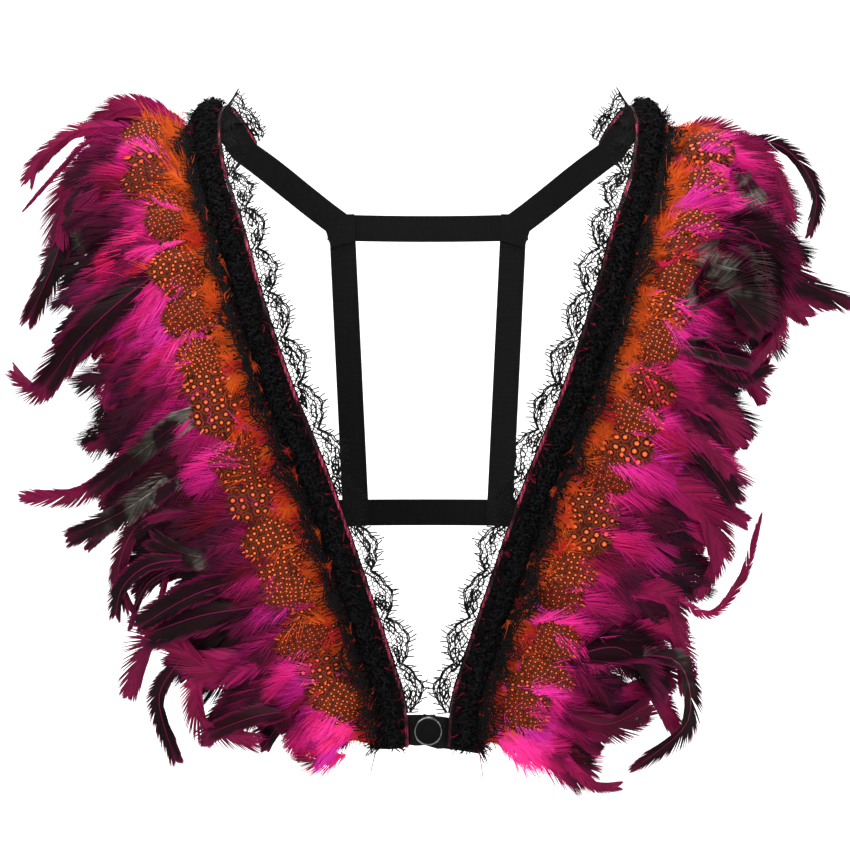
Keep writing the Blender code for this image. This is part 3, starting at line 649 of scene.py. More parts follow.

# The feathers that give the outline, as their quills lie in the picture: points, half width, lift
# and dye number, which runs from crimson (0) to black (0.6) and black with a painted green-grey sheen (1)
leadFeathers = {
    "left": (
        (((185, 122), (132, 110), (92, 130)), 0.0085, 0.008, 0.20),
        (((190, 132), (152, 120), (112, 130)), 0.0110, 0.006, 0.02),
        (((165, 130), (85, 132), (48, 158), (36, 176)), 0.0058, 0.010, 0.42),
        (((150, 150), (95, 142), (64, 168), (25, 212)), 0.0022, 0.006, 0.30),
        (((160, 165), (98, 165), (70, 194), (58, 236)), 0.0110, 0.004, 0.46),
        (((125, 160), (78, 205), (52, 270), (32, 314)), 0.0080, 0.002, 0.62),
        (((185, 258), (126, 302), (84, 342), (54, 382)), 0.0115, 0.0165, 0.60),
        (((110, 325), (70, 362), (42, 388), (18, 374)), 0.0070, 0.003, 0.25),
        (((205, 330), (150, 345), (108, 398)), 0.0115, 0.006, 0.10),
        (((200, 385), (140, 430), (92, 446)), 0.0050, 0.004, 0.48),
        (((215, 378), (142, 447), (88, 490), (28, 497)), 0.0072, 0.010, 0.05),
        (((228, 392), (170, 432), (98, 488)), 0.0080, 0.015, 0.95),
        (((225, 448), (165, 485), (122, 513), (76, 534)), 0.0090, 0.014, 0.88),
        (((185, 480), (130, 510), (93, 547)), 0.0045, 0.009, 0.60),
        (((215, 510), (148, 518), (122, 565), (130, 604)), 0.0065, 0.011, 0.52),
        (((205, 558), (156, 562), (128, 583), (120, 609)), 0.0060, 0.015, 0.66),
        (((190, 562), (150, 582), (130, 627)), 0.0030, 0.007, 0.60),
        (((175, 545), (166, 580), (157, 619)), 0.0022, 0.004, 0.30),
        (((255, 548), (200, 555), (160, 540)), 0.0080, 0.012, 0.90),
        (((262, 572), (198, 592), (146, 622)), 0.0090, 0.0165, 0.58),
        (((278, 602), (208, 612), (154, 630)), 0.0130, 0.0155, 0.56),
        (((288, 656), (220, 668), (164, 636), (134, 688)), 0.0105, 0.016, 0.45),
        (((190, 650), (160, 695), (175, 756)), 0.0062, 0.003, 0.64),
        (((295, 650), (212, 662), (202, 712), (252, 738)), 0.0085, 0.013, 0.40),
        (((310, 705), (260, 712), (215, 728)), 0.0070, 0.015, 0.55),
    ),
    "right": (
        (((690, 156), (728, 149), (758, 160)), 0.0085, 0.010, 0.02),
        (((672, 146), (702, 137), (736, 148)), 0.0095, 0.006, 0.00),
        (((705, 142), (776, 147), (812, 190), (808, 233)), 0.0052, 0.008, 0.56),
        (((715, 142), (762, 160), (788, 218)), 0.0055, 0.010, 0.12),
        (((722, 152), (750, 202), (764, 262), (844, 304)), 0.0105, 0.014, 0.84),
        (((735, 255), (788, 296), (824, 302)), 0.0065, 0.008, 0.10),
        (((735, 285), (778, 304), (800, 316)), 0.0060, 0.006, 0.06),
        (((752, 280), (774, 326), (744, 368)), 0.0055, 0.010, 0.36),
        (((685, 335), (730, 372), (762, 366)), 0.0062, 0.009, 0.64),
        (((690, 232), (750, 238), (766, 322)), 0.0140, 0.0165, 0.62),
        (((672, 262), (724, 262), (744, 312)), 0.0120, 0.0190, 0.96),
        (((672, 318), (712, 290), (752, 326)), 0.0135, 0.0205, 0.90),
        (((664, 345), (700, 350), (742, 360)), 0.0080, 0.0155, 0.70),
        (((655, 390), (702, 405), (732, 442)), 0.0110, 0.009, 0.10),
        (((640, 415), (692, 438), (724, 470)), 0.0060, 0.012, 0.02),
        (((640, 430), (695, 452), (730, 498)), 0.0100, 0.010, 0.62),
        (((665, 470), (708, 498), (742, 519)), 0.0062, 0.006, 0.16),
        (((625, 470), (690, 500), (719, 550)), 0.0120, 0.012, 0.40),
        (((670, 520), (715, 545), (698, 590)), 0.0062, 0.006, 0.20),
        (((640, 560), (700, 612), (738, 580), (759, 514)), 0.0032, 0.008, 0.00),
        (((610, 590), (660, 594), (680, 640)), 0.0075, 0.010, 0.34),
        (((605, 630), (666, 634), (684, 686)), 0.0080, 0.008, 0.42),
        (((600, 655), (672, 657), (684, 716), (632, 762)), 0.0065, 0.0175, 0.72),
        (((600, 700), (645, 692), (676, 730)), 0.0070, 0.006, 0.30),
        (((552, 660), (615, 644), (660, 684)), 0.0150, 0.0180, 0.62),
        (((545, 700), (600, 720), (640, 704)), 0.0095, 0.0165, 0.52),
        (((545, 735), (585, 778), (613, 784)), 0.0040, 0.008, 0.10),
    ),
}


def cockRow(side, rng, material):
    parts = []
    for spots, half, lift, number in leadFeathers[side]:
        quill = smoothTable(onSheet(spots), np.linspace(0, len(spots) - 1, lead["points"]))
        quill[:, 1] = fallSurface(quill[:, 0], quill[:, 2])
        rise = np.clip(np.linspace(0, 1, lead["points"]) / lead["risen"], 0, 1)
        quill[:, 1] -= lead["rootLift"] + (lift - lead["rootLift"]) * rise * (2 - rise)
        facing = np.tile([0.0, -1.0, 0.0], (lead["points"], 1))
        style = dict(cock, half=half, roll=rng.normal(0, lead["roll"]), twist=rng.normal(0, lead["twist"]),
                     barbs=int(lead["barbs"] + lead["barbs"] * min(half / lead["usualHalf"], lead["widest"])))
        parts += plume(rng, quill, facing, style, number)
    fill = cockFill
    for i in range(fill["count"]):
        share = (i + rng.random()) / fill["count"]
        quill, facing = quillCurve(side, share, rng.uniform(*fill["start"]), rng.uniform(*fill["stop"]),
                                   rng.uniform(*fill["lift"]), swayAt(rng, share, fill["sway"]),
                                   fill["points"])
        curlDown(rng, quill, fill["curl"])
        style = dict(cock, half=rng.uniform(*fill["half"]), roll=rng.normal(0, fill["roll"]),
                     twist=rng.normal(0, fill["twist"]), barbs=fill["barbs"], split=fill["split"],
                     vaneWide=fill["vaneWide"])
        parts += plume(rng, quill, facing, style, rng.random())
    finishPiece("tailFeathers", side, parts, material, "coque_row")


guinea = {
    # distance of the blade's middle out from the band's centre line, count, half width, lift above the sheet
    "rows": ((0.025, 16, 0.0125, 0.0160), (0.036, 20, 0.0150, 0.0190)),
    "length": 0.033, "steps": 9, "widthSteps": 8, "cup": 0.26, "droop": 0.14, "wobble": 0.00025,
    "spotSize": (0.60, 1.42), "firstSpot": 1.25, "lastSpot": 0.4,
    "fray": 44, "frayTurn": 2.5, "frayLength": (0.0016, 0.0042), "frayWide": 0.00045,
    "outChance": 0.0025, "liftChance": 0.0012, "lastShare": 0.955,
}


def guineaBlade(rng, quill, facing, halfWidth):
    # a rounded, slightly cupped blade with its own UV in millimetres, and frayed barbs round its edge
    n, m = guinea["steps"], guinea["widthSteps"]
    t, place = np.linspace(0, 1, n), np.linspace(0, 1, len(quill))
    spine, front = sample(quill, place, t), sample(facing, place, t)
    run = unit(np.gradient(spine, axis=0))
    front = unit(front - run * (front * run).sum(1, keepdims=True))
    across = np.cross(run, front)
    u = np.linspace(-1, 1, m)[None, :]
    profile = np.sin(np.pi * np.clip(0.12 + 0.80 * t, 0, 1)) ** 0.55
    x = u * (halfWidth * profile)[:, None]
    droop = guinea["droop"] * halfWidth * t[:, None] ** 2
    cup = -guinea["cup"] * halfWidth * u ** 2 * profile[:, None] - droop
    wobble = rng.normal(0, guinea["wobble"], (n, m))
    verts = spine[:, None] + across[:, None] * x[..., None] + front[:, None] * (cup + wobble)[..., None]
    index = np.arange(n * m).reshape(n, m)
    corners = index[:-1, :-1], index[:-1, 1:], index[1:, 1:], index[1:, :-1]
    a, b, c, d = [corner.ravel() for corner in corners]
    tris = np.concatenate([np.stack([a, b, c], 1), np.stack([a, c, d], 1)])
    length = np.linalg.norm(np.diff(spine, axis=0), axis=1).sum()
    number = rng.random()
    # the spots' pattern starts anywhere on each blade, and grows towards the tip
    shift, size = rng.uniform(0, 40, 2), rng.uniform(*guinea["spotSize"]) * 1000
    finer = guinea["firstSpot"] - guinea["lastSpot"] * t
    along = np.cumsum(finer) / finer.sum() * length * size
    blade = np.stack([x * size * finer[:, None] + shift[0],
                      np.repeat(along[:, None], m, 1) + shift[1]], -1)
    dye = np.stack([np.repeat(t[:, None], m, 1), np.zeros((n, m)), np.full((n, m), number)], -1)
    parts = [(verts.reshape(-1, 3), tris, dye.reshape(-1, 3), blade.reshape(-1, 2))]
    # the fray stands outwards from the edge
    turn = np.linspace(-guinea["frayTurn"], guinea["frayTurn"], guinea["fray"])
    edgeT = np.clip(0.55 + 0.45 * np.cos(turn), 0, 1)
    edgeU = np.sign(turn) * np.minimum(1, np.abs(np.sin(turn)) ** 0.6)
    reach = halfWidth * np.interp(edgeT, t, profile)
    side, ahead, up = sample(across, t, edgeT), sample(run, t, edgeT), sample(front, t, edgeT)
    base = sample(spine, t, edgeT) + side * (edgeU * reach * 0.9)[:, None]
    base = base - up * (0.22 * halfWidth * edgeU ** 2)[:, None]
    outward = unit(side * np.sin(turn)[:, None] + ahead * (0.4 + np.cos(turn))[:, None]
                   + rng.normal(0, 0.14, (len(turn), 3)))
    barb = rng.uniform(*guinea["frayLength"], (len(turn), 1))
    points = np.stack([base, base + outward * barb * 0.5, base + outward * barb], 1)
    broad = unit(np.cross(up, outward)) * guinea["frayWide"]
    widths = np.stack([broad, broad * 0.8, broad * 0], 1)
    tone = np.stack([np.repeat(edgeT[:, None], 3, 1), np.ones((len(turn), 3)),
                     np.full((len(turn), 3), number)], -1)
    edgePlace = np.stack([edgeU * reach * size + shift[0], edgeT * length * size + shift[1]], -1)
    parts.append((*strands(points, widths, tone), np.repeat(edgePlace, 5, axis=0)))
    return parts


def spottedRow(side, rng, material):
    parts = []
    for out, count, halfWidth, lift in guinea["rows"]:
        for i in range(count):
            share = min(max((i + 0.5 + rng.normal(0, 0.18)) / count * 0.975, 0.0), guinea["lastShare"])
            reach, fall = lockAt(side, share)[:2]
            curve = math.hypot(reach, fall) * route["featherReach"]
            middle = (out + rng.normal(0, guinea["outChance"]) - quills["out"]) / curve
            half = guinea["length"] / 2 / curve * rng.uniform(0.8, 1.05)
            sway = (1.0, swayAt(rng, share, 0.10)[1] * 1.3 - 0.04, rng.normal(0.0, 0.04))
            higher = lift + rng.uniform(-guinea["liftChance"], guinea["liftChance"])
            quill, facing = quillCurve(side, share, max(middle - half, -0.02), middle + half,
                                       higher, sway, 10)
            parts += guineaBlade(rng, quill, facing, halfWidth * rng.uniform(0.8, 1.04))
    finishPiece("spottedFeathers", side, parts, material, "spotted_row", "blade")


tuft = dict(saddle, barbs=44, angle=36, open=24, loose=0.16, downLoose=0.16, down=1.5,
            vaneWide=0.00055, end=0.3, clump=5, split=5, shaft=0.0004, close=0.0, tip=1.4, twist=0.0,
            tone=(0.0, 1.0))
# Layers of down: count, start, run, lift and half width; the last layer lies over the spotted feathers' roots
tuftLayers = (
    (90, (-0.03, 0.12), (0.09, 0.15), (0.008, 0.014), 0.0095),
    (100, (-0.05, -0.01), (0.055, 0.10), (0.0165, 0.0195), 0.0075),
)
# How single tufts differ, their size at the shoulder and how much less it is at the front, and
# their dye likewise
tuftChance = {"sway": 0.14, "size": (0.7, 1.25), "roll": 0.3, "longest": 1.25, "shorter": 0.65,
              "dye": 0.37, "redder": 0.38, "dyeChance": 0.20}


def orangeRow(side, rng, material):
    parts, chance = [], tuftChance
    for count, start, run, lift, half in tuftLayers:
        for i in range(count):
            share = (i + rng.random()) / count * 1.01 - 0.015
            first = rng.uniform(*start)
            wide, up, bend = swayAt(rng, share, chance["sway"])
            longer = chance["longest"] - chance["shorter"] * share
            quill, facing = quillCurve(side, share, first, first + rng.uniform(*run) * longer,
                                       rng.uniform(*lift), (wide, up * 1.8 - 0.05, bend), 12)
            style = dict(tuft, half=half * rng.uniform(*chance["size"]) * longer ** 0.5,
                         roll=rng.normal(0, chance["roll"]))
            dye = rng.normal(chance["dye"] + chance["redder"] * share, chance["dyeChance"])
            parts += plume(rng, quill, facing, style, min(max(dye, 0), 1))
    finishPiece("orangeDown", side, parts, material)


# The tape that the rows are sewn to, between the trim and the feathers: its corners as places out
# from the band's middle and up
rowTape = {"stations": 120,
           "corners": ((0.0078, 0.0018), (0.0260, 0.0012), (0.0260, 0.0026), (0.0078, 0.0100))}


def featherTape(side, material):
    point, across, normal = bandFrame(np.linspace(route["rowStart"], rowEnd, rowTape["stations"]))
    verts = np.stack([point + across * out + normal * up for out, up in rowTape["corners"]], 1).reshape(-1, 3)
    parts = [(verts, tubeFaces(rowTape["stations"], len(rowTape["corners"])), np.zeros((len(verts), 3)))]
    finishPiece("featherTape", side, parts, material)


trim = {
    "width": 0.0068, "low": 0.0018, "high": 0.0064, "stations": 220, "ring": 10, "lumps": 110,
    "inRough": (0.80, 1.10), "outRough": (0.85, 1.55), "corePast": 0.004, "loopsPast": 0.006,
    "loops": 7000, "loopSize": 0.0044, "loopWide": 0.00042, "sunk": 0.0002, "black": 0.905,
    # out and along for each point of a loop
    "loopSteps": ((0.0, 0.0), (0.38, 0.30), (0.52, 0.90), (0.10, 1.30)),
    # loose ends: outwards or inwards, how far from the middle they start, count and reach
    "strays": ((1, 0.0060, 3600, 0.0125), (-1, 0.0062, 1800, 0.0125 * 0.45)),
    "strayWide": 0.00034, "strayHigh": (0.0045, 0.0095),
}


def yarnEnds(points, broad, taper, shade, number):
    # ribbons through four points each, with a tone from root to tip that paints shade at the root and a
    # highlight towards the tip
    dye = np.stack([np.tile(shade, (len(broad), 1)), np.zeros((len(broad), 4)), np.repeat(number, 4, 1)], -1)
    return strands(np.stack(points, 1), np.stack([broad * part for part in taper], 1), dye)


def yarnTrim(side, rng, material):
    # a lumpy core under thousands of short curled yarn ends
    lumps = trim["lumps"]
    spots = np.linspace(0, crest + 0.01, lumps)
    inner, outer = rng.uniform(*trim["inRough"], lumps), rng.uniform(*trim["outRough"], lumps)

    def section(distance, turn):
        # place across and height above the band, for a turn from the inner edge (0) to the outer one (pi)
        grow = np.where(turn < math.pi / 2, np.interp(distance, spots, inner),
                        np.interp(distance, spots, outer))
        grow = 1 + (grow - 1) * np.cos(turn) ** 2
        high = trim["low"] + np.abs(np.sin(turn)) ** 0.7 * trim["high"] * grow ** 0.5
        return -np.cos(turn) * trim["width"] * grow, high

    distance = np.linspace(0.0, crest + trim["corePast"], trim["stations"])
    point, across, normal = bandFrame(distance)
    w, h = section(distance[:, None], np.linspace(0, math.pi, trim["ring"])[None, :])
    core = (point[:, None] + across[:, None] * w[..., None] + normal[:, None] * h[..., None]).reshape(-1, 3)
    parts = [(core, tubeFaces(trim["stations"], trim["ring"]), np.tile([0.15, 0, 0.3], (len(core), 1)))]
    n = trim["loops"]
    distance = rng.uniform(0, crest + trim["loopsPast"], n)
    turn = rng.uniform(0.0, math.pi, n)
    point, across, normal = bandFrame(distance)
    out = across * (-np.cos(turn))[:, None] + normal * np.sin(turn)[:, None]
    lengthways = np.cross(normal, across)
    w, h = section(distance, turn)
    base = point + across * w[:, None] + normal * (h - trim["sunk"])[:, None]
    swirl = unit(lengthways * rng.normal(0, 1, (n, 1)) + np.cross(out, lengthways) * rng.normal(0, 1, (n, 1)))
    size = rng.uniform(0.35, 1.0, (n, 1)) * trim["loopSize"]
    points = [base + size * (out * o + swirl * s) for o, s in trim["loopSteps"]]
    # loop tones from root to tip: painted shade at the root, painted highlight near the tip
    parts.append(yarnEnds(points, unit(np.cross(out, swirl)) * trim["loopWide"], (1, 1, 1, 0),
                          (0.2, 0.5, 0.9, 0.7), rng.random((n, 1)) * trim["black"]))
    parts += strayYarn(rng)
    finishPiece("yarnTrim", side, parts, material, "fur_trim")


def strayYarn(rng):
    # loose ends that lie out over the feathers' roots and in over the piping, thick only in places
    parts = []
    for way, edge, count, reach in trim["strays"]:
        d = rng.uniform(0, rowEnd + 0.02, count * 3)
        dense = 0.22 + 0.5 * np.sin(d * 95 + 1.7 * way) * np.sin(d * 231) + 0.4 * np.sin(d * 147 + 0.8) ** 2
        d = d[rng.random(len(d)) < dense][:count]
        n = (len(d), 1)
        point, across, normal = bandFrame(d)
        across = across * way
        lengthways = np.cross(normal, across)
        size = rng.uniform(0.3, 1.0, n) * reach * (0.7 + 0.5 * np.sin(d * 147 + 0.8) ** 2)[:, None]
        base = point + across * edge + normal * rng.uniform(*trim["strayHigh"], n)
        out = unit(across + lengthways * rng.normal(0, 0.6, n)
                   + normal * rng.uniform(0.2, 0.75, n) * (way > 0))
        curl = lengthways * rng.normal(0, 0.6, n) - normal * 0.25
        points = [base + size * (out * s + curl * s * s) for s in (0, 0.4, 0.75, 1.0)]
        # stray tones rise from root to tip: a painted highlight towards the tip
        parts.append(yarnEnds(points, unit(np.cross(normal, out)) * trim["strayWide"], (1, 1, 0.8, 0),
                              (0.2, 0.4, 0.6, 0.8), rng.random(n)))
    return parts


lace = {
    "start": 0.0107, "depth": 0.0145, "dip": 0.58, "scallops": 16, "lobes": 3, "from": 0.0195, "lift": 0.5,
    "net": 0.0034, "netDeep": 0.022, "netThick": 0.00031, "cordThick": 0.00052,
    "edgeCords": (0.0, 0.0011, 0.0046), "motifs": 9,
    "motifHalf": (0.0020, 0.0048), "motifTall": (0.0010, 0.0024),
    "lash": 0.0042, "lashThick": 0.00044, "lashGap": 0.0026,
    # the far edge, over the feathers: its depth, how ragged it is, and how much thicker its net
    "overDepth": 0.0125, "overRagged": (0.35, 1.0), "overSpots": 60, "overThick": 1.3,
}


def laceDepth(u):
    # scallops of three lobes each, shallower at the front end and over the shoulder
    wave = np.abs(np.sin(math.pi * u * lace["scallops"]))
    lobe = np.abs(np.sin(math.pi * u * lace["scallops"] * lace["lobes"]))
    ends = (1 - 0.35 * np.clip((u - 0.80) / 0.15, 0, 1)) * np.clip(0.3 + u / 0.03, 0, 1)
    dip = lace["dip"] * (1 - 0.6 * np.clip((u - 0.78) / 0.05, 0, 1))
    return lace["depth"] * (1 - dip * (1 - wave)) * (0.88 + 0.12 * lobe) * ends


def innerLace(u, v):
    # u is the share along the band, v the distance in from its edge
    stand = lace["lift"] * np.clip((u - 0.72) / 0.16, 0, 1)
    gathered = 0.14 * np.sin(u * 2 * math.pi * lace["scallops"] * 0.5) + 0.10 * np.sin(u * 151 + 1.3)
    point, across, normal = bandFrame(lace["from"] + (bandLength - lace["from"]) * u)
    return (point - across * (lace["start"] + v * (1 - 0.3 * stand))[:, None]
            + normal * (0.0007 + v * (stand + gathered * np.minimum(1, v / 0.01)))[:, None])


def outerLace(u, v):
    # the far edge of the same lace, lying over the roots of the spotted feathers
    begin = lace["from"] * 0.3
    point, across, normal = bandFrame(begin + (rowEnd - 0.004 - begin) * u)
    over = 0.0075 + 0.0150 * np.clip(v / 0.012, 0, 1) ** 0.7
    return point + across * (0.006 + v)[:, None] + normal * over[:, None]


def netSegments(length, depthAt):
    # a hexagonal net clipped to the lace's depth, as pairs of (u, v), each corner shaken by its own place
    cell = lace["net"]
    columns, rows = int(length / (cell * 0.866)), int(lace["netDeep"] / (cell * 0.75)) + 1
    c, r = np.meshgrid(np.arange(columns), np.arange(rows), indexing="ij")
    low = np.stack([(c + 0.5 * (r % 2)).ravel() * cell * 0.866, (r * cell * 0.75).ravel()], 1)
    steps = ((0.433, 0.25), (-0.433, 0.25), (0, -0.5))
    ends = np.concatenate([np.stack([low, low + np.array(step) * cell], 1) for step in steps])
    bent = np.round(ends / (cell * 0.05)).astype(int)
    shake = np.sin(bent[..., 0] * 12.9898 + bent[..., 1] * 78.233) * 43758.5453
    made = ends + np.stack([np.modf(shake)[0], np.modf(shake * 1.7)[0]], -1) * cell * 0.22
    made[..., 0] /= length
    return clipped(made, depthAt, -0.0006, 0)


def clipped(pairs, depthAt, low, past):
    # only the segments that lie wholly on the lace
    u, v = pairs[..., 0], pairs[..., 1]
    return pairs[((v > low) & (v < depthAt(u) + past) & (u > 0) & (u < 1)).all(1)]


def linked(line):
    return np.stack([line[:-1], line[1:]], 1)


def laceMotifs(rng, length, depthAt):
    # edge cords, and in each scallop curling stems and leaves
    count = lace["scallops"]
    u = np.linspace(0, 1, count * 26 + 1)
    made = []
    for inset in lace["edgeCords"]:
        v = np.maximum(depthAt(u) - inset - rng.uniform(0, 0.0005, len(u)), 0.0004)
        made.append(linked(np.stack([u, v], 1)))
    made.append(linked(np.stack([u, 0 * u], 1)))
    for i in range(count):
        for k in range(lace["motifs"]):
            middle = (i + rng.uniform(0.05, 0.95)) / count
            v = float(depthAt(np.array([middle]))[0]) * rng.uniform(0.12, 0.75)
            wide, tall = rng.uniform(*lace["motifHalf"]) / length, rng.uniform(*lace["motifTall"])
            turn = rng.choice([-1, 1])
            stem = ((middle - wide, v), (middle, v + tall * turn), (middle + wide, v + tall * 0.3),
                    (middle + wide * 0.4, v - tall * turn), (middle - wide, v))
            made.append(linked(smoothTable(stem, np.linspace(0, 4, 13))))
    return clipped(np.concatenate(made), depthAt, -0.0003, 0.0003)


def lashSegments(rng, length, depthAt):
    count = int(length / lace["lashGap"])
    u = (np.arange(count) + rng.uniform(0, 0.6, count)) / count
    v = depthAt(u)
    size = rng.uniform(0.6, 1.1, count) * lace["lash"] * (1.15 - 0.25 * u)
    tip = np.stack([u + rng.normal(0, 0.0009, count) / length, v + size], 1)
    return np.stack([np.stack([u, v - 0.0003], 1), tip], 1)


def threads(place, segments, thick):
    # three-sided threads between pairs of chart points
    a, b = place(segments[:, 0, 0], segments[:, 0, 1]), place(segments[:, 1, 0], segments[:, 1, 1])
    run = unit(b - a)
    side = unit(np.cross(run, np.array([0.13, -0.97, 0.21])))
    other = np.cross(run, side)
    turns = [math.radians(k) for k in (90, 210, 330)]
    ring = [side * math.cos(k) * thick + other * math.sin(k) * thick for k in turns]
    verts = np.stack([a + r for r in ring] + [b + r for r in ring], 1)
    faces = [(0, 1, 4), (0, 4, 3), (1, 2, 5), (1, 5, 4), (2, 0, 3), (2, 3, 5), (0, 2, 1), (3, 4, 5)]
    tris = (np.arange(len(a))[:, None, None] * 6 + np.array(faces)[None]).reshape(-1, 3)
    return verts.reshape(-1, 3), tris


def laceParts(rng, place, length, depthAt, netThick):
    return [threads(place, netSegments(length, depthAt), netThick),
            threads(place, laceMotifs(rng, length, depthAt), lace["cordThick"]),
            threads(place, lashSegments(rng, length, depthAt), lace["lashThick"])]


def laceEdging(side, rng, material):
    parts = laceParts(rng, innerLace, bandLength - lace["from"], laceDepth, lace["netThick"])
    finishPiece("laceEdging", side, parts, material, "lace")
    ragged = rng.uniform(*lace["overRagged"], lace["overSpots"])

    def overDepth(u):
        torn = np.interp(u, np.linspace(0, 1, lace["overSpots"]), ragged)
        return lace["overDepth"] * torn * (0.75 + 0.25 * np.sin(u * 60))

    parts = laceParts(rng, outerLace, rowEnd, overDepth, lace["netThick"] * lace["overThick"])
    finishPiece("laceOver", side, parts, material)


snap = {
    "radius": 0.009, "rim": 0.0017, "thick": 0.0028, "dish": 0.0009, "post": 0.0025, "stud": 0.006,
    "studThick": 0.0012, "bright": 0.90, "steps": 72,
}


def frontSnap(metal, lacquerDarkReflection):
    # the press stud turned round its own axis: dished cap, rolled rim, post and back disc
    low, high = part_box("front_snap")
    middleX, middleZ = (low.x + high.x) / 2, (low.z + high.z) / 2
    radius, stud, dish, post = snap["radius"], snap["stud"], snap["dish"], snap["post"]
    face = low.y + snap["thick"]
    back = high.y - snap["studThick"]
    rim = radius - snap["rim"]
    profile = [(0, low.y + dish * 1.1), (rim * 0.5, low.y + dish), (rim * 0.93, low.y + dish * 0.9)]
    profile += [(rim + snap["rim"] * (0.5 + 0.5 * math.sin(a)),
                 low.y + snap["thick"] * 0.42 * (1 - math.cos(a)))
                for a in np.radians(np.linspace(-60, 90, 10))]
    profile += [(radius * 0.95, face - 0.0002), (radius * 0.88, face), (post, face), (post, back),
                (stud, back), (stud, high.y - 0.0003), (stud * 0.9, high.y), (0, high.y)]
    bm = bmesh.new()
    verts = [bm.verts.new((r, y, 0)) for r, y in profile]
    edges = [bm.edges.new(pair) for pair in zip(verts, verts[1:])]
    bmesh.ops.spin(bm, geom=verts + edges, cent=(0, 0, 0), axis=(0, 1, 0), angle=2 * math.pi,
                   steps=snap["steps"], use_merge=True, use_duplicate=False)
    bmesh.ops.remove_doubles(bm, verts=bm.verts[:], dist=1e-6)
    bmesh.ops.recalc_face_normals(bm, faces=bm.faces[:])
    bmesh.ops.translate(bm, verts=bm.verts[:], vec=(middleX, 0, middleZ))
    mesh = bpy.data.meshes.new("pressStud")
    bm.to_mesh(mesh)
    bm.free()
    mesh.shade_smooth()
    mesh.set_sharp_from_angle(angle=math.radians(40))
    mesh.materials.append(lacquerDarkReflection)
    mesh.materials.append(metal)
    # faces inside the rim take the black lacquer, a painted dark reflection; only the rim takes the metal
    for face in mesh.polygons:
        out = math.hypot(face.center.x - middleX, face.center.z - middleZ)
        face.material_index = 1 if out > radius * snap["bright"] else 0
    made = addObject("pressStud", mesh)
    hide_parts("front_snap")
    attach(made, "root")


def dress(node, material):
    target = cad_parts[node]
    for slot in target.material_slots:
        slot.material = material
    if not target.material_slots:
        target.data.materials.append(material)


studio = {
    "floorDrop": 0.62, "floorFront": 4.0, "wallBack": 1.7, "wallHigh": 4.0, "curve": 0.9, "half": 5.0,
    "paint": "#F7F7F7", "sky": 0.62,
    # name, place, aim, size and power of each lamp
    "lamps": (
        ("keyLight", (-1.3, -1.9, 1.4), (0, 0, -0.2), 1.2, 46),
        ("fillLight", (1.7, -1.6, 0.5), (0, 0, -0.25), 1.6, 22),
        ("wallLight", (0, 0.3, 2.2), (0, 1.6, 0.0), 2.4, 60),
    ),
}


def studioSet():
    # a pale floor that curves up into the wall behind
    bm = bmesh.new()
    bmesh.ops.create_grid(bm, x_segments=1, y_segments=40, size=0.5)
    front, curve, drop = studio["floorFront"], studio["curve"], studio["floorDrop"]
    run = front + studio["wallBack"] - curve
    bend = curve * math.pi / 2
    for v in bm.verts:
        s = (v.co.y + 0.5) * (run + bend + studio["wallHigh"])
        x = v.co.x * 2 * studio["half"]
        if s < run:
            v.co = (x, s - front, -drop)
        elif s < run + bend:
            a = (s - run) / curve
            v.co = (x, run - front + curve * math.sin(a), curve * (1 - math.cos(a)) - drop)
        else:
            v.co = (x, studio["wallBack"], s - run - bend + curve - drop)
    mesh = bpy.data.meshes.new("studioFloor")
    bm.to_mesh(mesh)
    bm.free()
    mesh.shade_smooth()
    # flat emulsion paint: pale, with no gloss
    paint = newMaterial("matWhitePaint")[0]
    mesh.materials.append(finished(paint, {"Base Color": linear(studio["paint"]), "Roughness": 0.95,
                                           "Specular IOR Level": 0.1}))
    addObject("studioFloor", mesh)


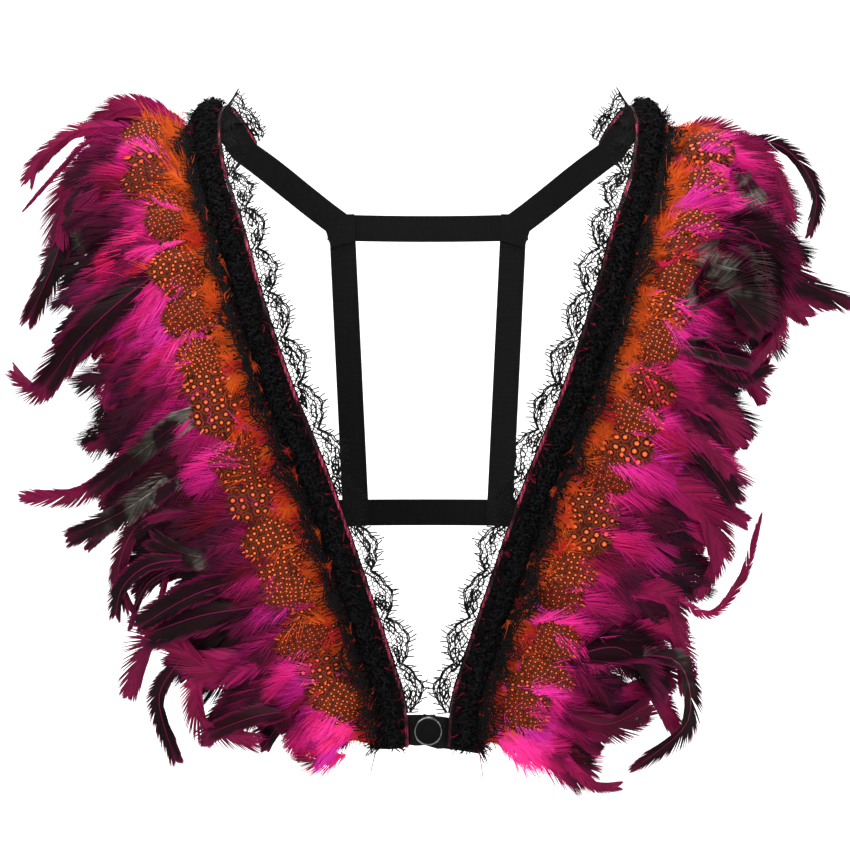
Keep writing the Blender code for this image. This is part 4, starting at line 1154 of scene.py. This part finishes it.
def studioLight():
    world = bpy.data.worlds.new("studioWorld")
    world.use_nodes = True
    background = world.node_tree.nodes["Background"]
    background.inputs["Color"].default_value = linear("#FFFFFF")
    background.inputs["Strength"].default_value = studio["sky"]
    bpy.context.scene.world = world
    for name, place, target, size, power in studio["lamps"]:
        lamp = bpy.data.lights.new(name, "AREA")
        lamp.shape = "DISK"
        lamp.size = size
        lamp.energy = power
        made = addObject(name, lamp)
        made.location = place
        made.rotation_euler = (Vector(target) - Vector(place)).to_track_quat("-Z", "Y").to_euler()


def photoCamera():
    lens = bpy.data.cameras.new("photoCamera")
    lens.sensor_width = camera["sensor"]
    lens.lens = camera["sensor"] * -camera["place"][1] / camera["across"]
    made = addObject("photoCamera", lens)
    made.location = camera["place"]
    made.rotation_euler = (math.pi / 2, 0, 0)
    bpy.context.scene.camera = made


photoCamera()
studioSet()
studioLight()
bpy.context.scene.view_settings.view_transform = "Standard"
print("studio ready")

down, orange, tail, spotted = softFeather(), orangeDown(), cockFeather(), spottedFeather()
yarn, pink = blackYarn(), satinPiping()
# cotton tape under the feathers' roots is dull wine, polyamide lace thread black and faintly silky
cotton = dullThread("cottonTape", 400.0, ((0.3, "#1A0506"), (0.8, "#4A1208")), 0.9)
thread = dullThread("polyamideLaceThread", 900.0, ((0.3, "#040404"), (0.8, "#101012")), 0.75)
# polyester grosgrain ribbon has fine ribs across its length, as the elastic has
ribbonCloth = wovenElastic("polyesterGrosgrain", (0.35, 0.1, 0.93))
acrossElastic = wovenElastic("knittedElasticAcross", (1, 0, 0))
uprightElastic = wovenElastic("knittedElasticUpright", (0, 0, 1))
for side, seed, sign in (("left", 11, -1), ("right", 29, 1)):
    rng = np.random.default_rng(seed)
    cockRow(side, rng, tail)
    saddleRow(side, rng, down)
    spottedRow(side, rng, spotted)
    orangeRow(side, rng, orange)
    featherTape(side, cotton)
    yarnTrim(side, rng, yarn)
    laceEdging(side, rng, thread)
    dress("band_" + side, ribbonCloth)
    dress("piping_" + side, pink)
    dress("back_side_bar_" + side, uprightElastic)
    slant = wovenElastic("knittedElasticSlant" + side.title(), (-0.62 * sign, 0.45, -0.64))
    dress("shoulder_strap_" + side, slant)
    dress("front_tab_" + side, acrossElastic)
    print(side, "epaulette dressed")
dress("back_top_bar", acrossElastic)
dress("underarm_strap", acrossElastic)
frontSnap(nickelPlate(), blackLacquerDarkReflection())
print("front stud made")
